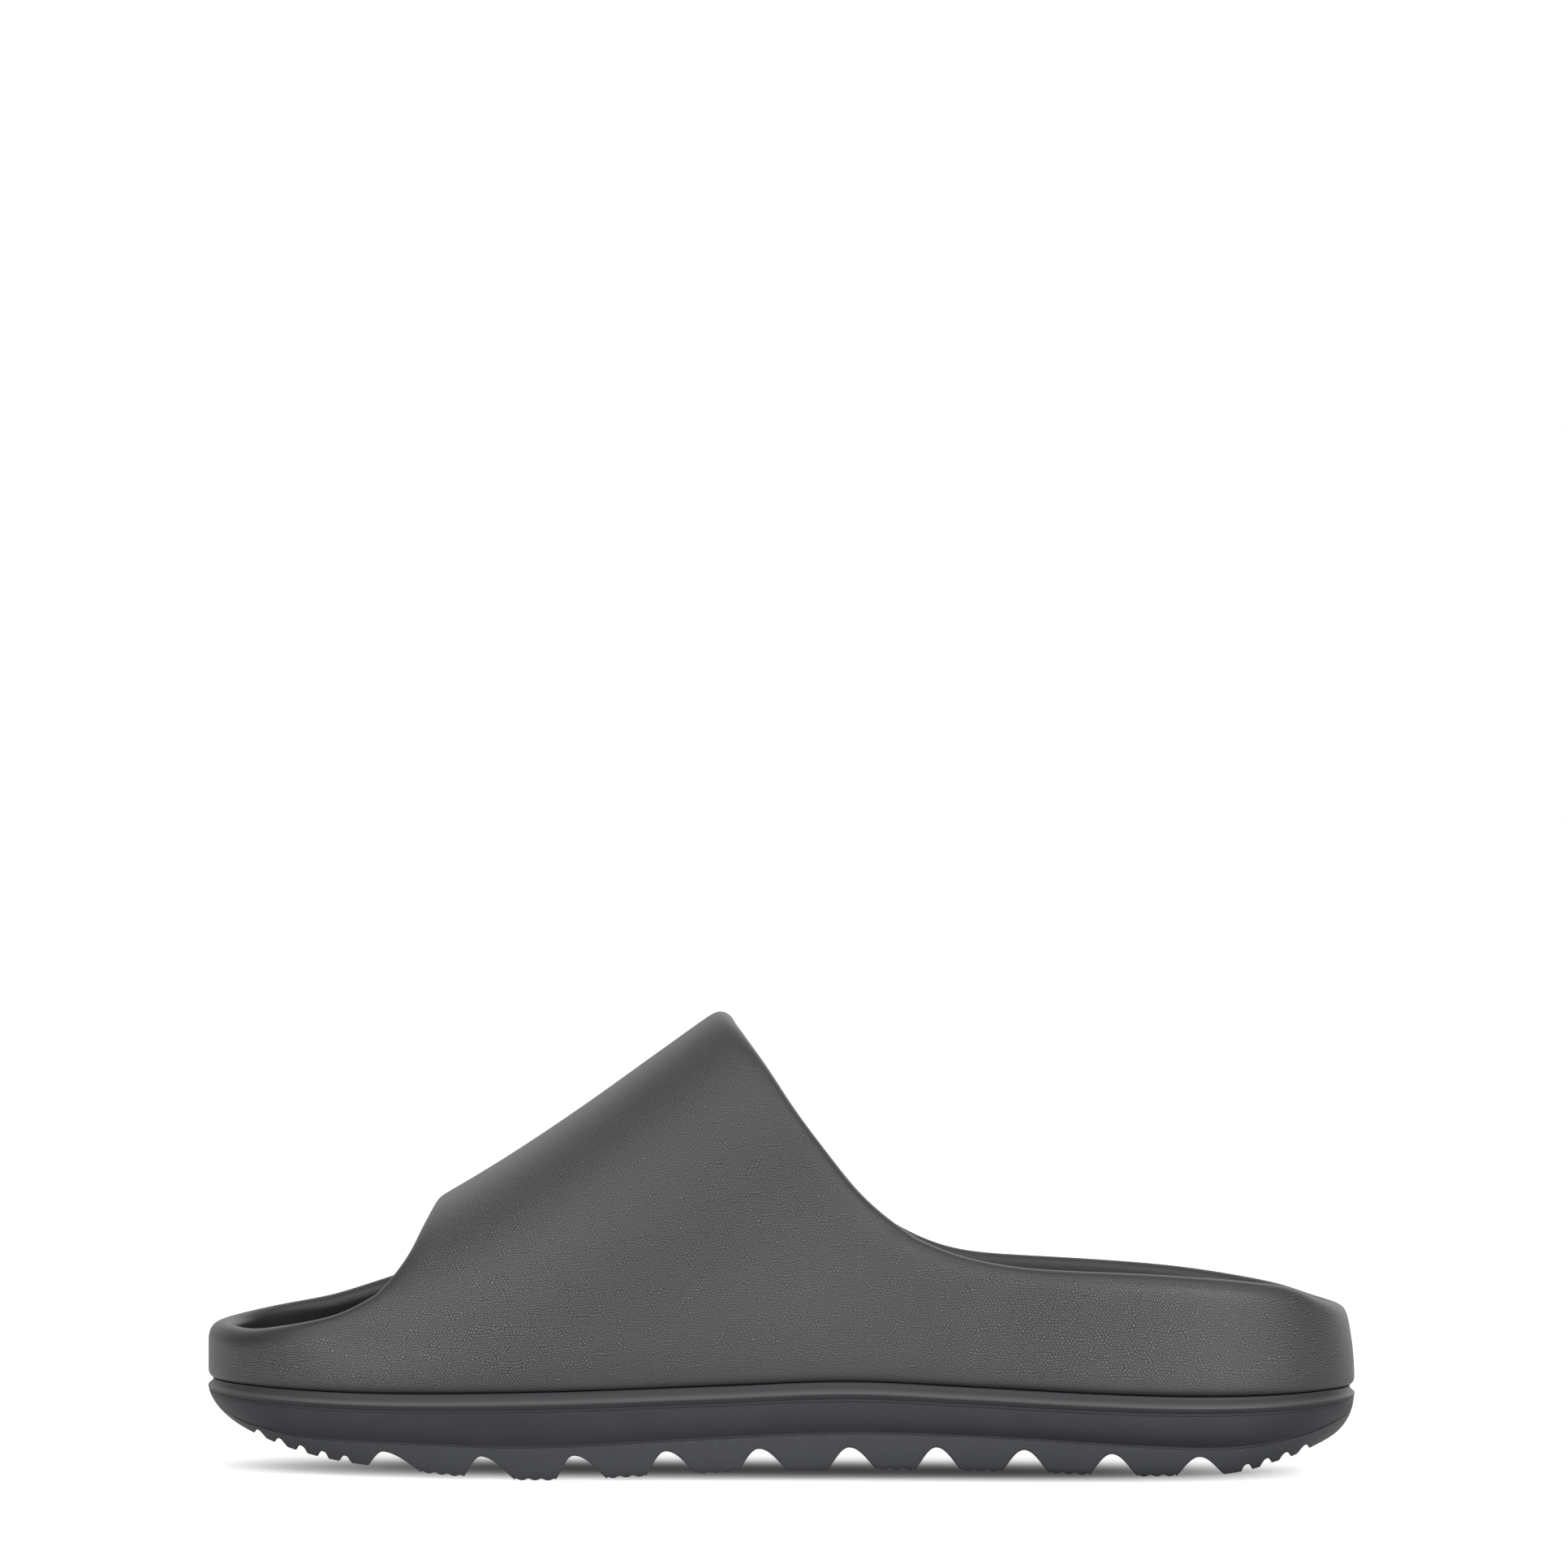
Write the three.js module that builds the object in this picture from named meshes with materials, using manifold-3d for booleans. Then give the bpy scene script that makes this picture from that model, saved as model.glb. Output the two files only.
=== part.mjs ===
// A moulded foam slide sandal for the left foot, built as four separate solids.
//
//   upper    the hollow foam shell: a low wall round the whole foot that rises into one wide strap over the
//            instep, open at the toe, at the collar and underneath
//   insole   the dished footbed that fills the floor of the upper
//   midsole  the block under them, with a cove and lip round its top and a tall side band
//   outsole  the tread layer, cut across by deep wave-shaped valleys, with small teeth at toe and heel
//
// X runs from the toe (-X) to the heel (+X), Y from the outer side (-Y) to the inner side (+Y) of the left foot,
// and Z is up. The origin is on the floor, below the middle of the shoe's length and width.

import * as THREE from "three";
import { mergeVertices } from "three/addons/utils/BufferGeometryUtils.js";
import Module from "manifold-3d";

// Driving sizes, in millimetres.
const LENGTH = 300; // toe tip to heel tip
const BALL_WIDTH = 112; // across the widest place of the sole
const PARTING_RISE = 24.9; // floor to the groove between sole and upper, at the arch
const RIM_RISE = 30.4; // groove to the rim beside the heel
const CREST_RISE = 95.2; // groove to the top of the strap at the collar
const ARCH_START = 4; // the side wall is upright for this height above the groove
const WALL = 7; // foam thickness of the rim and the strap
const EDGE_ROUND = 4; // radius of the outer half of every free edge
const HEEL_LEAN = 2.9; // how far the wall leans in between the groove and the rim at the heel tip
const LEAN_POWER = 2.2; // the lean grows by this power of the height
const CREST_SHIFT = 4; // the strap's ridge lies this far towards the inner side
const FIT_GAP = 0.3; // left between two pieces that meet
const GROOVE_DEPTH = 1.3; // how far the groove goes in below the upper
const GROOVE_ROUND = 1.8; // height of the rounding at the foot of the upper
const COVE_HEIGHT = 4.3; // groove to the crease under the lip, at the sides
const COVE_HEIGHT_TIP = 3.0; // the same at the toe and heel tips
const CREASE_DEPTH = 0.55; // how far the crease under the lip goes in
const BAND_INSET = 0.3; // how far the side band stands in from the lip
const BAND_UNDERCUT = 1.5; // how far the band turns in at its foot, at the sides
const TREAD_STEP = 0.9; // how far the tread layer stands in from the band's upper part, at the sides
const HULL_SIDE = 1.2; // how far the sole's side draws in from crease to tread, at the sides
const HULL_TOE = 9; // the same at the toe tip
const HULL_HEEL = 10.6; // the same at the heel tip
const HULL_POWER = { side: 2, toe: 1.5, heel: 1.9 }; // powers of the superellipse it draws in by
const TOE_SPRING = 10.4; // how high the tread is at the start of the toe
const LUG_PITCH = 23; // one lug and one valley
const LUG_DEPTH = 5.6; // depth of a valley
const TOOTH_DEPTH = 2; // depth of the small notches at toe and heel
const TOOTH_WIDTH = 2.9; // width of such a notch
const TOOTH_DROP = 0.15; // the notch's round starts this share of its depth below the tread
const TOE_TOOTH_PITCH = 5.85;
const HEEL_TOOTH_PITCH = 5.2;
const BED_RISE = 11; // groove to the footbed's hollow under the heel
const DISH_RISE = 5.5; // how far the footbed turns up along its edge
const DISH_WIDTH = 15; // how wide that turned-up edge is
const ARCH_SUPPORT = 3.5; // height of the swelling under the arch
const ARCH_PLACE = { at: 0.56, reach: 0.13, fullAt: 0.4 }; // shares of the length, and of the width
const STRAP_COLUMNS = 11; // faces along the strap, without its rounded edges
const STRAP_ROWS = 9; // faces from the low wall up to the ridge
const ROW_POWER = 1.3; // above 1, the strap's lowest rows are closer together
const TURN_STEP = Math.PI / 48; // spacing of the stations round the outline

// Half outline of the sole's lip, at even turns round the shoe: the turn is 0 at the toe tip and 180 at the heel
// tip, and both sides are shares of the ball width, measured from the middle line.
const OUTLINE = [
  { turn: 0, outer: 0.07, inner: 0.07 },
  { turn: 15, outer: -0.13, inner: 0.257 },
  { turn: 30, outer: -0.292, inner: 0.377 },
  { turn: 45, outer: -0.413, inner: 0.46 },
  { turn: 60, outer: -0.488, inner: 0.505 },
  { turn: 75, outer: -0.5035, inner: 0.485 },
  { turn: 90, outer: -0.472, inner: 0.415 },
  { turn: 105, outer: -0.43, inner: 0.37 },
  { turn: 120, outer: -0.412, inner: 0.361 },
  { turn: 135, outer: -0.383, inner: 0.337 },
  { turn: 150, outer: -0.302, inner: 0.256 },
  { turn: 165, outer: -0.168, inner: 0.124 },
  { turn: 180, outer: -0.022, inner: -0.022 },
];

// The tables below go by the share of the length from the toe tip.
// Groove height, as a share of PARTING_RISE.
const GROOVE = [
  { at: 0, rise: 0.885 },
  { at: 0.14, rise: 0.865 },
  { at: 0.3, rise: 0.905 },
  { at: 0.45, rise: 0.966 },
  { at: 0.56, rise: 1 },
  { at: 0.66, rise: 0.937 },
  { at: 0.77, rise: 0.857 },
  { at: 0.84, rise: 0.821 },
  { at: 0.91, rise: 0.808 },
  { at: 1, rise: 0.828 },
];

// Rim height above the groove in front of the strap and behind it, as shares of RIM_RISE.
const TOE_RIM = [
  { at: 0, outer: 0.487, inner: 0.487 },
  { at: 0.035, outer: 0.478, inner: 0.545 },
  { at: 0.07, outer: 0.551, inner: 0.612 },
  { at: 0.1, outer: 0.639, inner: 0.69 },
  { at: 0.125, outer: 0.72, inner: 0.775 },
];
const HEEL_RIM = [
  { at: 0.637, outer: 1.149, inner: 1.041 },
  { at: 0.665, outer: 1.079, inner: 0.991 },
  { at: 0.7, outer: 1.033, inner: 0.981 },
  { at: 0.75, outer: 1.023, inner: 0.984 },
  { at: 0.8, outer: 1.026, inner: 0.98 },
  { at: 0.85, outer: 1.012, inner: 0.961 },
  { at: 0.9, outer: 0.976, inner: 0.912 },
  { at: 0.95, outer: 0.9, inner: 0.838 },
  { at: 0.98, outer: 0.785, inner: 0.765 },
  { at: 1, outer: 0.735, inner: 0.735 },
];

// Height of the strap's ridge above the groove, as a share of CREST_RISE. The ridge line runs on past the
// strap at both ends, to shape the wall beside it.
const CREST = [
  { at: 0.03, rise: 0.38 },
  { at: 0.1, rise: 0.38 },
  { at: 0.148, rise: 0.415 },
  { at: 0.196, rise: 0.489 },
  { at: 0.254, rise: 0.592 },
  { at: 0.322, rise: 0.728 },
  { at: 0.39, rise: 0.874 },
  { at: 0.45, rise: 1.003 },
  { at: 0.52, rise: 1.146 },
  { at: 0.62, rise: 1.36 },
];

// The strap's two edges: climb is the share of the way from the wall's upright foot to the ridge.
const STRAP_FRONT = [
  { climb: 0.618, outer: 0.151, inner: 0.156 },
  { climb: 0.7, outer: 0.1637, inner: 0.1677 },
  { climb: 0.8, outer: 0.1763, inner: 0.1787 },
  { climb: 0.9, outer: 0.1845, inner: 0.1858 },
  { climb: 1, outer: 0.1937, inner: 0.1937 },
];
const STRAP_BACK = [
  { climb: 0.268, outer: 0.6175, inner: 0.6005 },
  { climb: 0.31, outer: 0.5965, inner: 0.584 },
  { climb: 0.36, outer: 0.5765, inner: 0.565 },
  { climb: 0.42, outer: 0.56, inner: 0.55 },
  { climb: 0.49, outer: 0.5438, inner: 0.536 },
  { climb: 0.57, outer: 0.5263, inner: 0.5197 },
  { climb: 0.663, outer: 0.508, inner: 0.502 },
  { climb: 0.766, outer: 0.4909, inner: 0.4847 },
  { climb: 0.87, outer: 0.4728, inner: 0.4682 },
  { climb: 0.938, outer: 0.4613, inner: 0.4585 },
  { climb: 1, outer: 0.4505, inner: 0.4505 },
];
// The wall beside the strap takes on its section from this share of the way between toe tip and strap, and
// loses it over this share of the length behind the strap.
const STRAP_FADE = { front: 0.3, back: 0.13 };
const ARCH_WIDTH_POWER = 2.15; // the strap's section is a superellipse with these two powers
const ARCH_HEIGHT_POWER = 2;

// Height of the tread above the floor, as a share of TOE_SPRING.
const TREAD = [
  { at: 0.03, rise: 1 },
  { at: 0.042, rise: 0.9 },
  { at: 0.062, rise: 0.73 },
  { at: 0.082, rise: 0.575 },
  { at: 0.12, rise: 0.37 },
  { at: 0.16, rise: 0.25 },
  { at: 0.21, rise: 0.11 },
  { at: 0.265, rise: 0 },
  { at: 0.315, rise: 0 },
  { at: 0.37, rise: 0.08 },
  { at: 0.45, rise: 0.18 },
  { at: 0.56, rise: 0.22 },
  { at: 0.65, rise: 0.18 },
  { at: 0.73, rise: 0.1 },
  { at: 0.8, rise: 0 },
  { at: 0.845, rise: 0 },
  { at: 0.885, rise: 0.03 },
  { at: 0.905, rise: 0.11 },
  { at: 0.922, rise: 0.24 },
  { at: 0.94, rise: 0.36 },
  { at: 0.965, rise: 0.6 },
];
// The two stretches of tread that lie flat on the floor.
const FLAT_STRETCHES = [
  [0.265, 0.315],
  [0.8, 0.845],
];

// The cove and lip, from the groove down: the share of the way to the crease, and how far it stands in, as a
// share of GROOVE_DEPTH.
const COVE = [
  { down: 0, inset: 1 },
  { down: 0.3, inset: 1 },
  { down: 0.52, inset: 0.35 },
  { down: 0.68, inset: 0 },
  { down: 0.84, inset: 0 },
];

// Top of the tread layer, as a share of the way up from the tread to the crease.
const TREAD_TOP = [
  { at: 0, share: 0.68 },
  { at: 0.02, share: 0.4 },
  { at: 0.055, share: 0.34 },
  { at: 0.12, share: 0.39 },
  { at: 0.18, share: 0.44 },
  { at: 0.3, share: 0.46 },
  { at: 0.8, share: 0.462 },
  { at: 0.88, share: 0.41 },
  { at: 0.93, share: 0.41 },
  { at: 0.965, share: 0.46 },
  { at: 0.985, share: 0.57 },
  { at: 1, share: 0.72 },
];

// The valleys across the tread: where each is deepest, how far it reaches to the front and to the back as
// shares of LUG_PITCH, and its depth as a share of LUG_DEPTH.
const VALLEYS = [
  { at: 0.1623, front: 0.18, back: 0.43, depth: 0.74 },
  { at: 0.2463, front: 0.2, back: 0.38, depth: 1.02 },
  { at: 0.3247, front: 0.2, back: 0.37, depth: 1.12 },
  { at: 0.4027, front: 0.22, back: 0.34, depth: 1.1 },
  { at: 0.4817, front: 0.23, back: 0.325, depth: 1.04 },
  { at: 0.5587, front: 0.24, back: 0.31, depth: 1.03 },
  { at: 0.633, front: 0.235, back: 0.28, depth: 1.05 },
  { at: 0.708, front: 0.25, back: 0.28, depth: 1.03 },
  { at: 0.783, front: 0.25, back: 0.29, depth: 1.02 },
  { at: 0.8583, front: 0.26, back: 0.28, depth: 0.86 },
];
const VALLEY_ROUND = 1.15; // power of the cosine that shapes a valley
const TOE_TEETH = { at: 0.0503, count: 5 };
const HEEL_TEETH = { at: 0.9, count: 4 };

// Footbed height above the groove, as a share of BED_RISE.
const BED = [
  { at: 0, rise: 0.48 },
  { at: 0.12, rise: 0.42 },
  { at: 0.3, rise: 0.38 },
  { at: 0.45, rise: 0.4 },
  { at: 0.55, rise: 0.44 },
  { at: 0.66, rise: 0.65 },
  { at: 0.8, rise: 0.95 },
  { at: 0.9, rise: 1 },
  { at: 1, rise: 1.05 },
];
// The line that the footbed's faces run in to, as shares of the length.
const SPINE = { from: 0.17, to: 0.86 };

// A smooth curve through a table's rows: a cubic between each two rows, whose slope at a row is that of the
// parabola through it and its neighbours.
function throughRows(rows, by, column) {
  const x = rows.map((row) => row[by]);
  const y = rows.map((row) => row[column]);
  const last = x.length - 1;
  const chord = x.slice(1).map((end, i) => (y[i + 1] - y[i]) / (end - x[i]));
  const slope = x.map((_, i) => {
    if (i === 0) return chord[0];
    if (i === last) return chord[last - 1];
    const before = x[i] - x[i - 1];
    const after = x[i + 1] - x[i];
    return (after * chord[i - 1] + before * chord[i]) / (before + after);
  });
  return (value) => {
    const at = THREE.MathUtils.clamp(value, x[0], x[last]);
    let i = 0;
    while (i < last - 1 && at > x[i + 1]) i += 1;
    const span = x[i + 1] - x[i];
    const t = (at - x[i]) / span;
    return (
      y[i] * (1 + 2 * t) * (1 - t) ** 2 +
      slope[i] * span * t * (1 - t) ** 2 +
      y[i + 1] * t * t * (3 - 2 * t) +
      slope[i + 1] * span * t * t * (t - 1)
    );
  };
}

// The closed outline's distance from the middle line: an even cubic B-spline over the table, down the outer
// side and back up the inner one.
const OUTLINE_POINTS = [
  ...OUTLINE.slice(0, -1).map((row) => row.outer),
  ...OUTLINE.slice(1)
    .reverse()
    .map((row) => row.inner),
];

function outlineShare(turn, slope) {
  const count = OUTLINE_POINTS.length;
  const place = (turn / (2 * Math.PI)) * count;
  const first = Math.floor(place);
  const t = place - first;
  const weights = slope
    ? [-((1 - t) ** 2) / 2, (3 * t * t - 4 * t) / 2, (1 + 2 * t - 3 * t * t) / 2, (t * t) / 2]
    : [
        (1 - t) ** 3 / 6,
        (3 * t ** 3 - 6 * t * t + 4) / 6,
        (1 + 3 * t + 3 * t * t - 3 * t ** 3) / 6,
        t ** 3 / 6,
      ];
  const sum = weights.reduce(
    (total, weight, i) => total + weight * OUTLINE_POINTS[(first - 1 + i + 2 * count) % count],
    0,
  );
  return slope ? (sum * count) / (2 * Math.PI) : sum;
}

// A point of the lip's outline, with its outward direction and its share of the length.
function outlineAt(turn) {
  const x = (-LENGTH / 2) * Math.cos(turn);
  const y = BALL_WIDTH * outlineShare(turn, false);
  const alongX = (LENGTH / 2) * Math.sin(turn);
  const alongY = BALL_WIDTH * outlineShare(turn, true);
  const size = Math.hypot(alongX, alongY);
  return {
    x,
    y,
    outX: alongY / size,
    outY: -alongX / size,
    at: (1 - Math.cos(turn)) / 2,
    side: turn <= Math.PI ? "outer" : "inner",
  };
}

const turnOf = (at, side) => {
  const turn = Math.acos(1 - 2 * at);
  return side === "outer" ? turn : 2 * Math.PI - turn;
};
const xOf = (at) => (at - 0.5) * LENGTH;
const atOf = (x) => x / LENGTH + 0.5;
const blend = (from, to, share) => from + (to - from) * share;
const smooth = (value, from, to) => THREE.MathUtils.smoothstep(value, from, to);

const grooveShare = throughRows(GROOVE, "at", "rise");
const crestShare = throughRows(CREST, "at", "rise");
const treadShare = throughRows(TREAD, "at", "rise");
const treadTopShare = throughRows(TREAD_TOP, "at", "share");
const bedShare = throughRows(BED, "at", "rise");
const frontEdge = {
  outer: throughRows(STRAP_FRONT, "climb", "outer"),
  inner: throughRows(STRAP_FRONT, "climb", "inner"),
};
const backEdge = {
  outer: throughRows(STRAP_BACK, "climb", "outer"),
  inner: throughRows(STRAP_BACK, "climb", "inner"),
};

const grooveHeight = (at) => PARTING_RISE * grooveShare(at);
const footHeight = (at) => grooveHeight(at) + ARCH_START;
const crestHeight = (at) => grooveHeight(at) + CREST_RISE * crestShare(at);
const climbTo = (at, climb) => blend(footHeight(at), crestHeight(at), climb);

function treadHeight(at) {
  const flat = FLAT_STRETCHES.some(([from, to]) => at >= from && at <= to);
  return flat ? 0 : Math.max(0, TOE_SPRING * treadShare(at));
}

// Where the strap meets the wall, on each side and at each end.
const corner = {};
for (const side of ["outer", "inner"]) {
  const front = STRAP_FRONT[0];
  const back = STRAP_BACK[0];
  corner[side] = {
    frontAt: front[side],
    backAt: back[side],
    toeRim: throughRows(
      [
        ...TOE_RIM.map((row) => ({ at: row.at, rise: RIM_RISE * row[side] })),
        { at: front[side], rise: climbTo(front[side], front.climb) - grooveHeight(front[side]) },
      ],
      "at",
      "rise",
    ),
    heelRim: throughRows(
      [
        { at: back[side], rise: climbTo(back[side], back.climb) - grooveHeight(back[side]) },
        ...HEEL_RIM.map((row) => ({ at: row.at, rise: RIM_RISE * row[side] })),
      ],
      "at",
      "rise",
    ),
  };
}

// The share of the half width that the arch has left at a climb, and the climb at an angle from the side.
const archWidth = (climb) => (1 - climb ** ARCH_HEIGHT_POWER) ** (1 / ARCH_WIDTH_POWER);
const climbOf = (angle) => Math.sin(angle) ** (2 / ARCH_HEIGHT_POWER);
const angleOf = (climb) => Math.asin(climb ** (ARCH_HEIGHT_POWER / 2));

// A point on the upper's outer face beside the foot, at a height. Under the strap the wall follows the arch,
// and at toe and heel it only leans in a little.
function wallPoint(turn, height) {
  const line = outlineAt(turn);
  const ends = corner[line.side];
  const underStrap =
    smooth(line.at, STRAP_FADE.front * ends.frontAt, ends.frontAt) *
    (1 - smooth(line.at, ends.backAt, ends.backAt + STRAP_FADE.back));
  const foot = footHeight(line.at);
  const climb = THREE.MathUtils.clamp((height - foot) / (crestHeight(line.at) - foot), 0, 1);
  const half = Math.abs(line.y - CREST_SHIFT);
  const arch = half * (1 - archWidth(climb));
  const risen = Math.max(0, height - grooveHeight(line.at)) / ends.heelRim(line.at);
  const lean = HEEL_LEAN * Math.max(0, line.outX) ** 2 * risen ** LEAN_POWER;
  const inset = blend(lean, arch, underStrap);
  const towards = new THREE.Vector2(
    blend(line.outX, 0, underStrap),
    blend(line.outY, Math.sign(line.outY || -1), underStrap),
  ).normalize();
  return new THREE.Vector3(line.x - towards.x * inset, line.y - towards.y * inset, height);
}

// A point inside that wall at the same height, one thickness in from its outer face, square to the face.
function insideWall(turn, height, thickness) {
  const step = 0.01;
  const point = wallPoint(turn, height);
  const along = wallPoint(turn + step / LENGTH, height).sub(point);
  const up = wallPoint(turn, height + step).sub(point);
  const out = along.cross(up).normalize();
  const level = Math.hypot(out.x, out.y);
  const inset = thickness / level ** 2;
  return new THREE.Vector3(point.x - out.x * inset, point.y - out.y * inset, height);
}

// Closed body from rings of points. Each ring goes round the outline in the same order, and the first and last
// rings are closed across, station by station.
function bodyOfRings(rings) {
  const count = rings[0].length;
  const half = count / 2;
  const points = rings.flat();
  const faces = [];
  const quad = (a, b, c, d) => faces.push(a, b, c, a, c, d);
  for (let ring = 0; ring + 1 < rings.length; ring += 1) {
    for (let i = 0; i < count; i += 1) {
      const next = (i + 1) % count;
      quad(ring * count + i, (ring + 1) * count + i, (ring + 1) * count + next, ring * count + next);
    }
  }
  const across = (base, flip) => {
    for (let i = 0; i < half; i += 1) {
      const corners = [i, i + 1, (count - i - 1) % count, (count - i) % count].map((n) => base + n);
      quad(...(flip ? corners.reverse() : corners));
    }
  };
  across(0, false);
  across((rings.length - 1) * count, true);
  return geometryOf(points, faces);
}

// Geometry from points and triangles, without the triangles that have shrunk to a line.
function geometryOf(points, faces) {
  const geometry = new THREE.BufferGeometry();
  geometry.setAttribute(
    "position",
    new THREE.Float32BufferAttribute(
      points.flatMap((point) => point.toArray()),
      3,
    ),
  );
  geometry.setIndex(faces);
  const merged = mergeVertices(geometry, 1e-3);
  const index = [...merged.index.array];
  const kept = [];
  for (let i = 0; i < index.length; i += 3) {
    const [a, b, c] = index.slice(i, i + 3);
    if (a !== b && b !== c && c !== a) kept.push(a, b, c);
  }
  merged.setIndex(kept);
  return merged;
}

// Turns round the outline where sole and insole have their stations: even ones, and the ends of the flats.
const TURNS = (() => {
  const down = [];
  for (let turn = 0; turn < Math.PI - TURN_STEP / 2; turn += TURN_STEP) down.push(turn);
  const marks = FLAT_STRETCHES.flat().map((at) => turnOf(at, "outer"));
  const even = down.filter((turn) => marks.every((mark) => Math.abs(turn - mark) > TURN_STEP / 4));
  const outer = [...even, ...marks].sort((a, b) => a - b);
  return [...outer, Math.PI, ...outer.slice(1).reverse().map((turn) => 2 * Math.PI - turn)];
})();

const coveHeight = (line) => blend(COVE_HEIGHT, COVE_HEIGHT_TIP, line.outX ** 2);
const insetPoint = (line, inset, height) =>
  new THREE.Vector3(line.x - line.outX * inset, line.y - line.outY * inset, height);

// The sole's side below the crease, at one place of the outline. Down is 0 at the crease and 1 at the tread.
function hullAt(line) {
  const tip = line.outX ** 2;
  const draw = blend(HULL_SIDE, line.outX < 0 ? HULL_TOE : HULL_HEEL, tip);
  const power = blend(HULL_POWER.side, line.outX < 0 ? HULL_POWER.toe : HULL_POWER.heel, tip);
  const crease = grooveHeight(line.at) - coveHeight(line);
  const drawn = (down) => draw * (1 - (1 - down ** power) ** (1 / power));
  const reach = BAND_INSET + draw + TREAD_STEP * (1 - tip);
  const bottom = treadHeight(atOf(line.x - line.outX * reach));
  const parting = 1 - treadTopShare(line.at);
  const heightAt = (down) => blend(crease, bottom, down);
  return {
    crease,
    parting,
    heightAt,
    band: (down) =>
      BAND_INSET + drawn(down) + BAND_UNDERCUT * (1 - tip) * (down / parting) ** 3,
    tread: (down) => BAND_INSET + drawn(down) + TREAD_STEP * (1 - tip),
  };
}

function midsoleGeometry() {
  const lines = TURNS.map(outlineAt);
  const cove = (inset, share) =>
    lines.map((line) =>
      insetPoint(
        line,
        inset,
        grooveHeight(line.at) - FIT_GAP / 2 - share * (coveHeight(line) - FIT_GAP / 2),
      ),
    );
  const rings = COVE.map((row) => cove(GROOVE_DEPTH * row.inset, row.down));
  rings.push(cove(CREASE_DEPTH, 1));
  for (const share of [0.06, 0.35, 0.6, 0.8, 1]) {
    rings.push(
      lines.map((line) => {
        const hull = hullAt(line);
        const gap = (share * FIT_GAP) / 2;
        const down = share * hull.parting;
        return insetPoint(line, hull.band(down), hull.heightAt(down) + gap);
      }),
    );
  }
  return bodyOfRings(rings);
}

// Prism across the whole width, from an outline of [x, z] corners.
function prismAcross(corners) {
  const shape = new THREE.Shape(corners.map(([x, z]) => new THREE.Vector2(x, z)));
  const width = 2 * BALL_WIDTH;
  return new THREE.ExtrudeGeometry(shape, { depth: width, bevelEnabled: false })
    .rotateX(Math.PI / 2)
    .translate(0, width / 2, 0);
}

function valleyCutter(valley) {
  const steps = 12;
  const corners = [];
  for (let i = 0; i <= steps; i += 1) {
    const t = -1 + (2 * i) / steps;
    const reach = LUG_PITCH * (t < 0 ? valley.front : valley.back);
    const x = xOf(valley.at) + reach * t;
    const rise = LUG_DEPTH * valley.depth * Math.max(0, Math.cos((Math.PI / 2) * t)) ** VALLEY_ROUND;
    corners.push([x, treadHeight(atOf(x)) + rise]);
  }
  const below = -LUG_DEPTH;
  return prismAcross([[corners[0][0], below], ...corners, [corners[steps][0], below]]);
}

function toothCutter(x) {
  const steps = 6;
  const corners = [];
  for (let i = 0; i <= steps; i += 1) {
    const angle = Math.PI * (1 - i / steps);
    const height = treadHeight(atOf(x)) + TOOTH_DEPTH * (Math.sin(angle) - TOOTH_DROP);
    corners.push([x + (TOOTH_WIDTH / 2) * Math.cos(angle), height]);
  }
  const below = -LUG_DEPTH;
  return prismAcross([[corners[0][0], below], ...corners, [corners[steps][0], below]]);
}

function outsoleGeometry(wasm) {
  const lines = TURNS.map(outlineAt);
  const rings = [0, 0.25, 0.5, 0.75, 0.92, 1].map((share) =>
    lines.map((line) => {
      const hull = hullAt(line);
      const down = blend(hull.parting, 1, share);
      const gap = ((1 - share) * FIT_GAP) / 2;
      return insetPoint(line, hull.tread(down), hull.heightAt(down) - gap);
    }),
  );
  const cutters = VALLEYS.map(valleyCutter);
  for (let i = 0; i < TOE_TEETH.count; i += 1) {
    cutters.push(toothCutter(xOf(TOE_TEETH.at) + i * TOE_TOOTH_PITCH));
  }
  for (let i = 0; i < HEEL_TEETH.count; i += 1) {
    cutters.push(toothCutter(xOf(HEEL_TEETH.at) + i * HEEL_TOOTH_PITCH));
  }
  const cut = cutters.reduce(
    (solid, cutter) => solid.subtract(solidOf(wasm, cutter)),
    solidOf(wasm, bodyOfRings(rings)),
  );
  return geometryFromSolid(cut);
}

// Footbed height at a point, at a distance in from the footbed's edge.
function bedHeight(at, y, fromEdge) {
  const turnedUp = DISH_RISE * Math.max(0, 1 - fromEdge / DISH_WIDTH) ** 2;
  const alongArch = Math.exp(-(((at - ARCH_PLACE.at) / ARCH_PLACE.reach) ** 2));
  const towardsInner = smooth(y, 0, ARCH_PLACE.fullAt * BALL_WIDTH);
  return (
    grooveHeight(at) + BED_RISE * bedShare(at) + turnedUp + ARCH_SUPPORT * alongArch * towardsInner
  );
}

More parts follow.
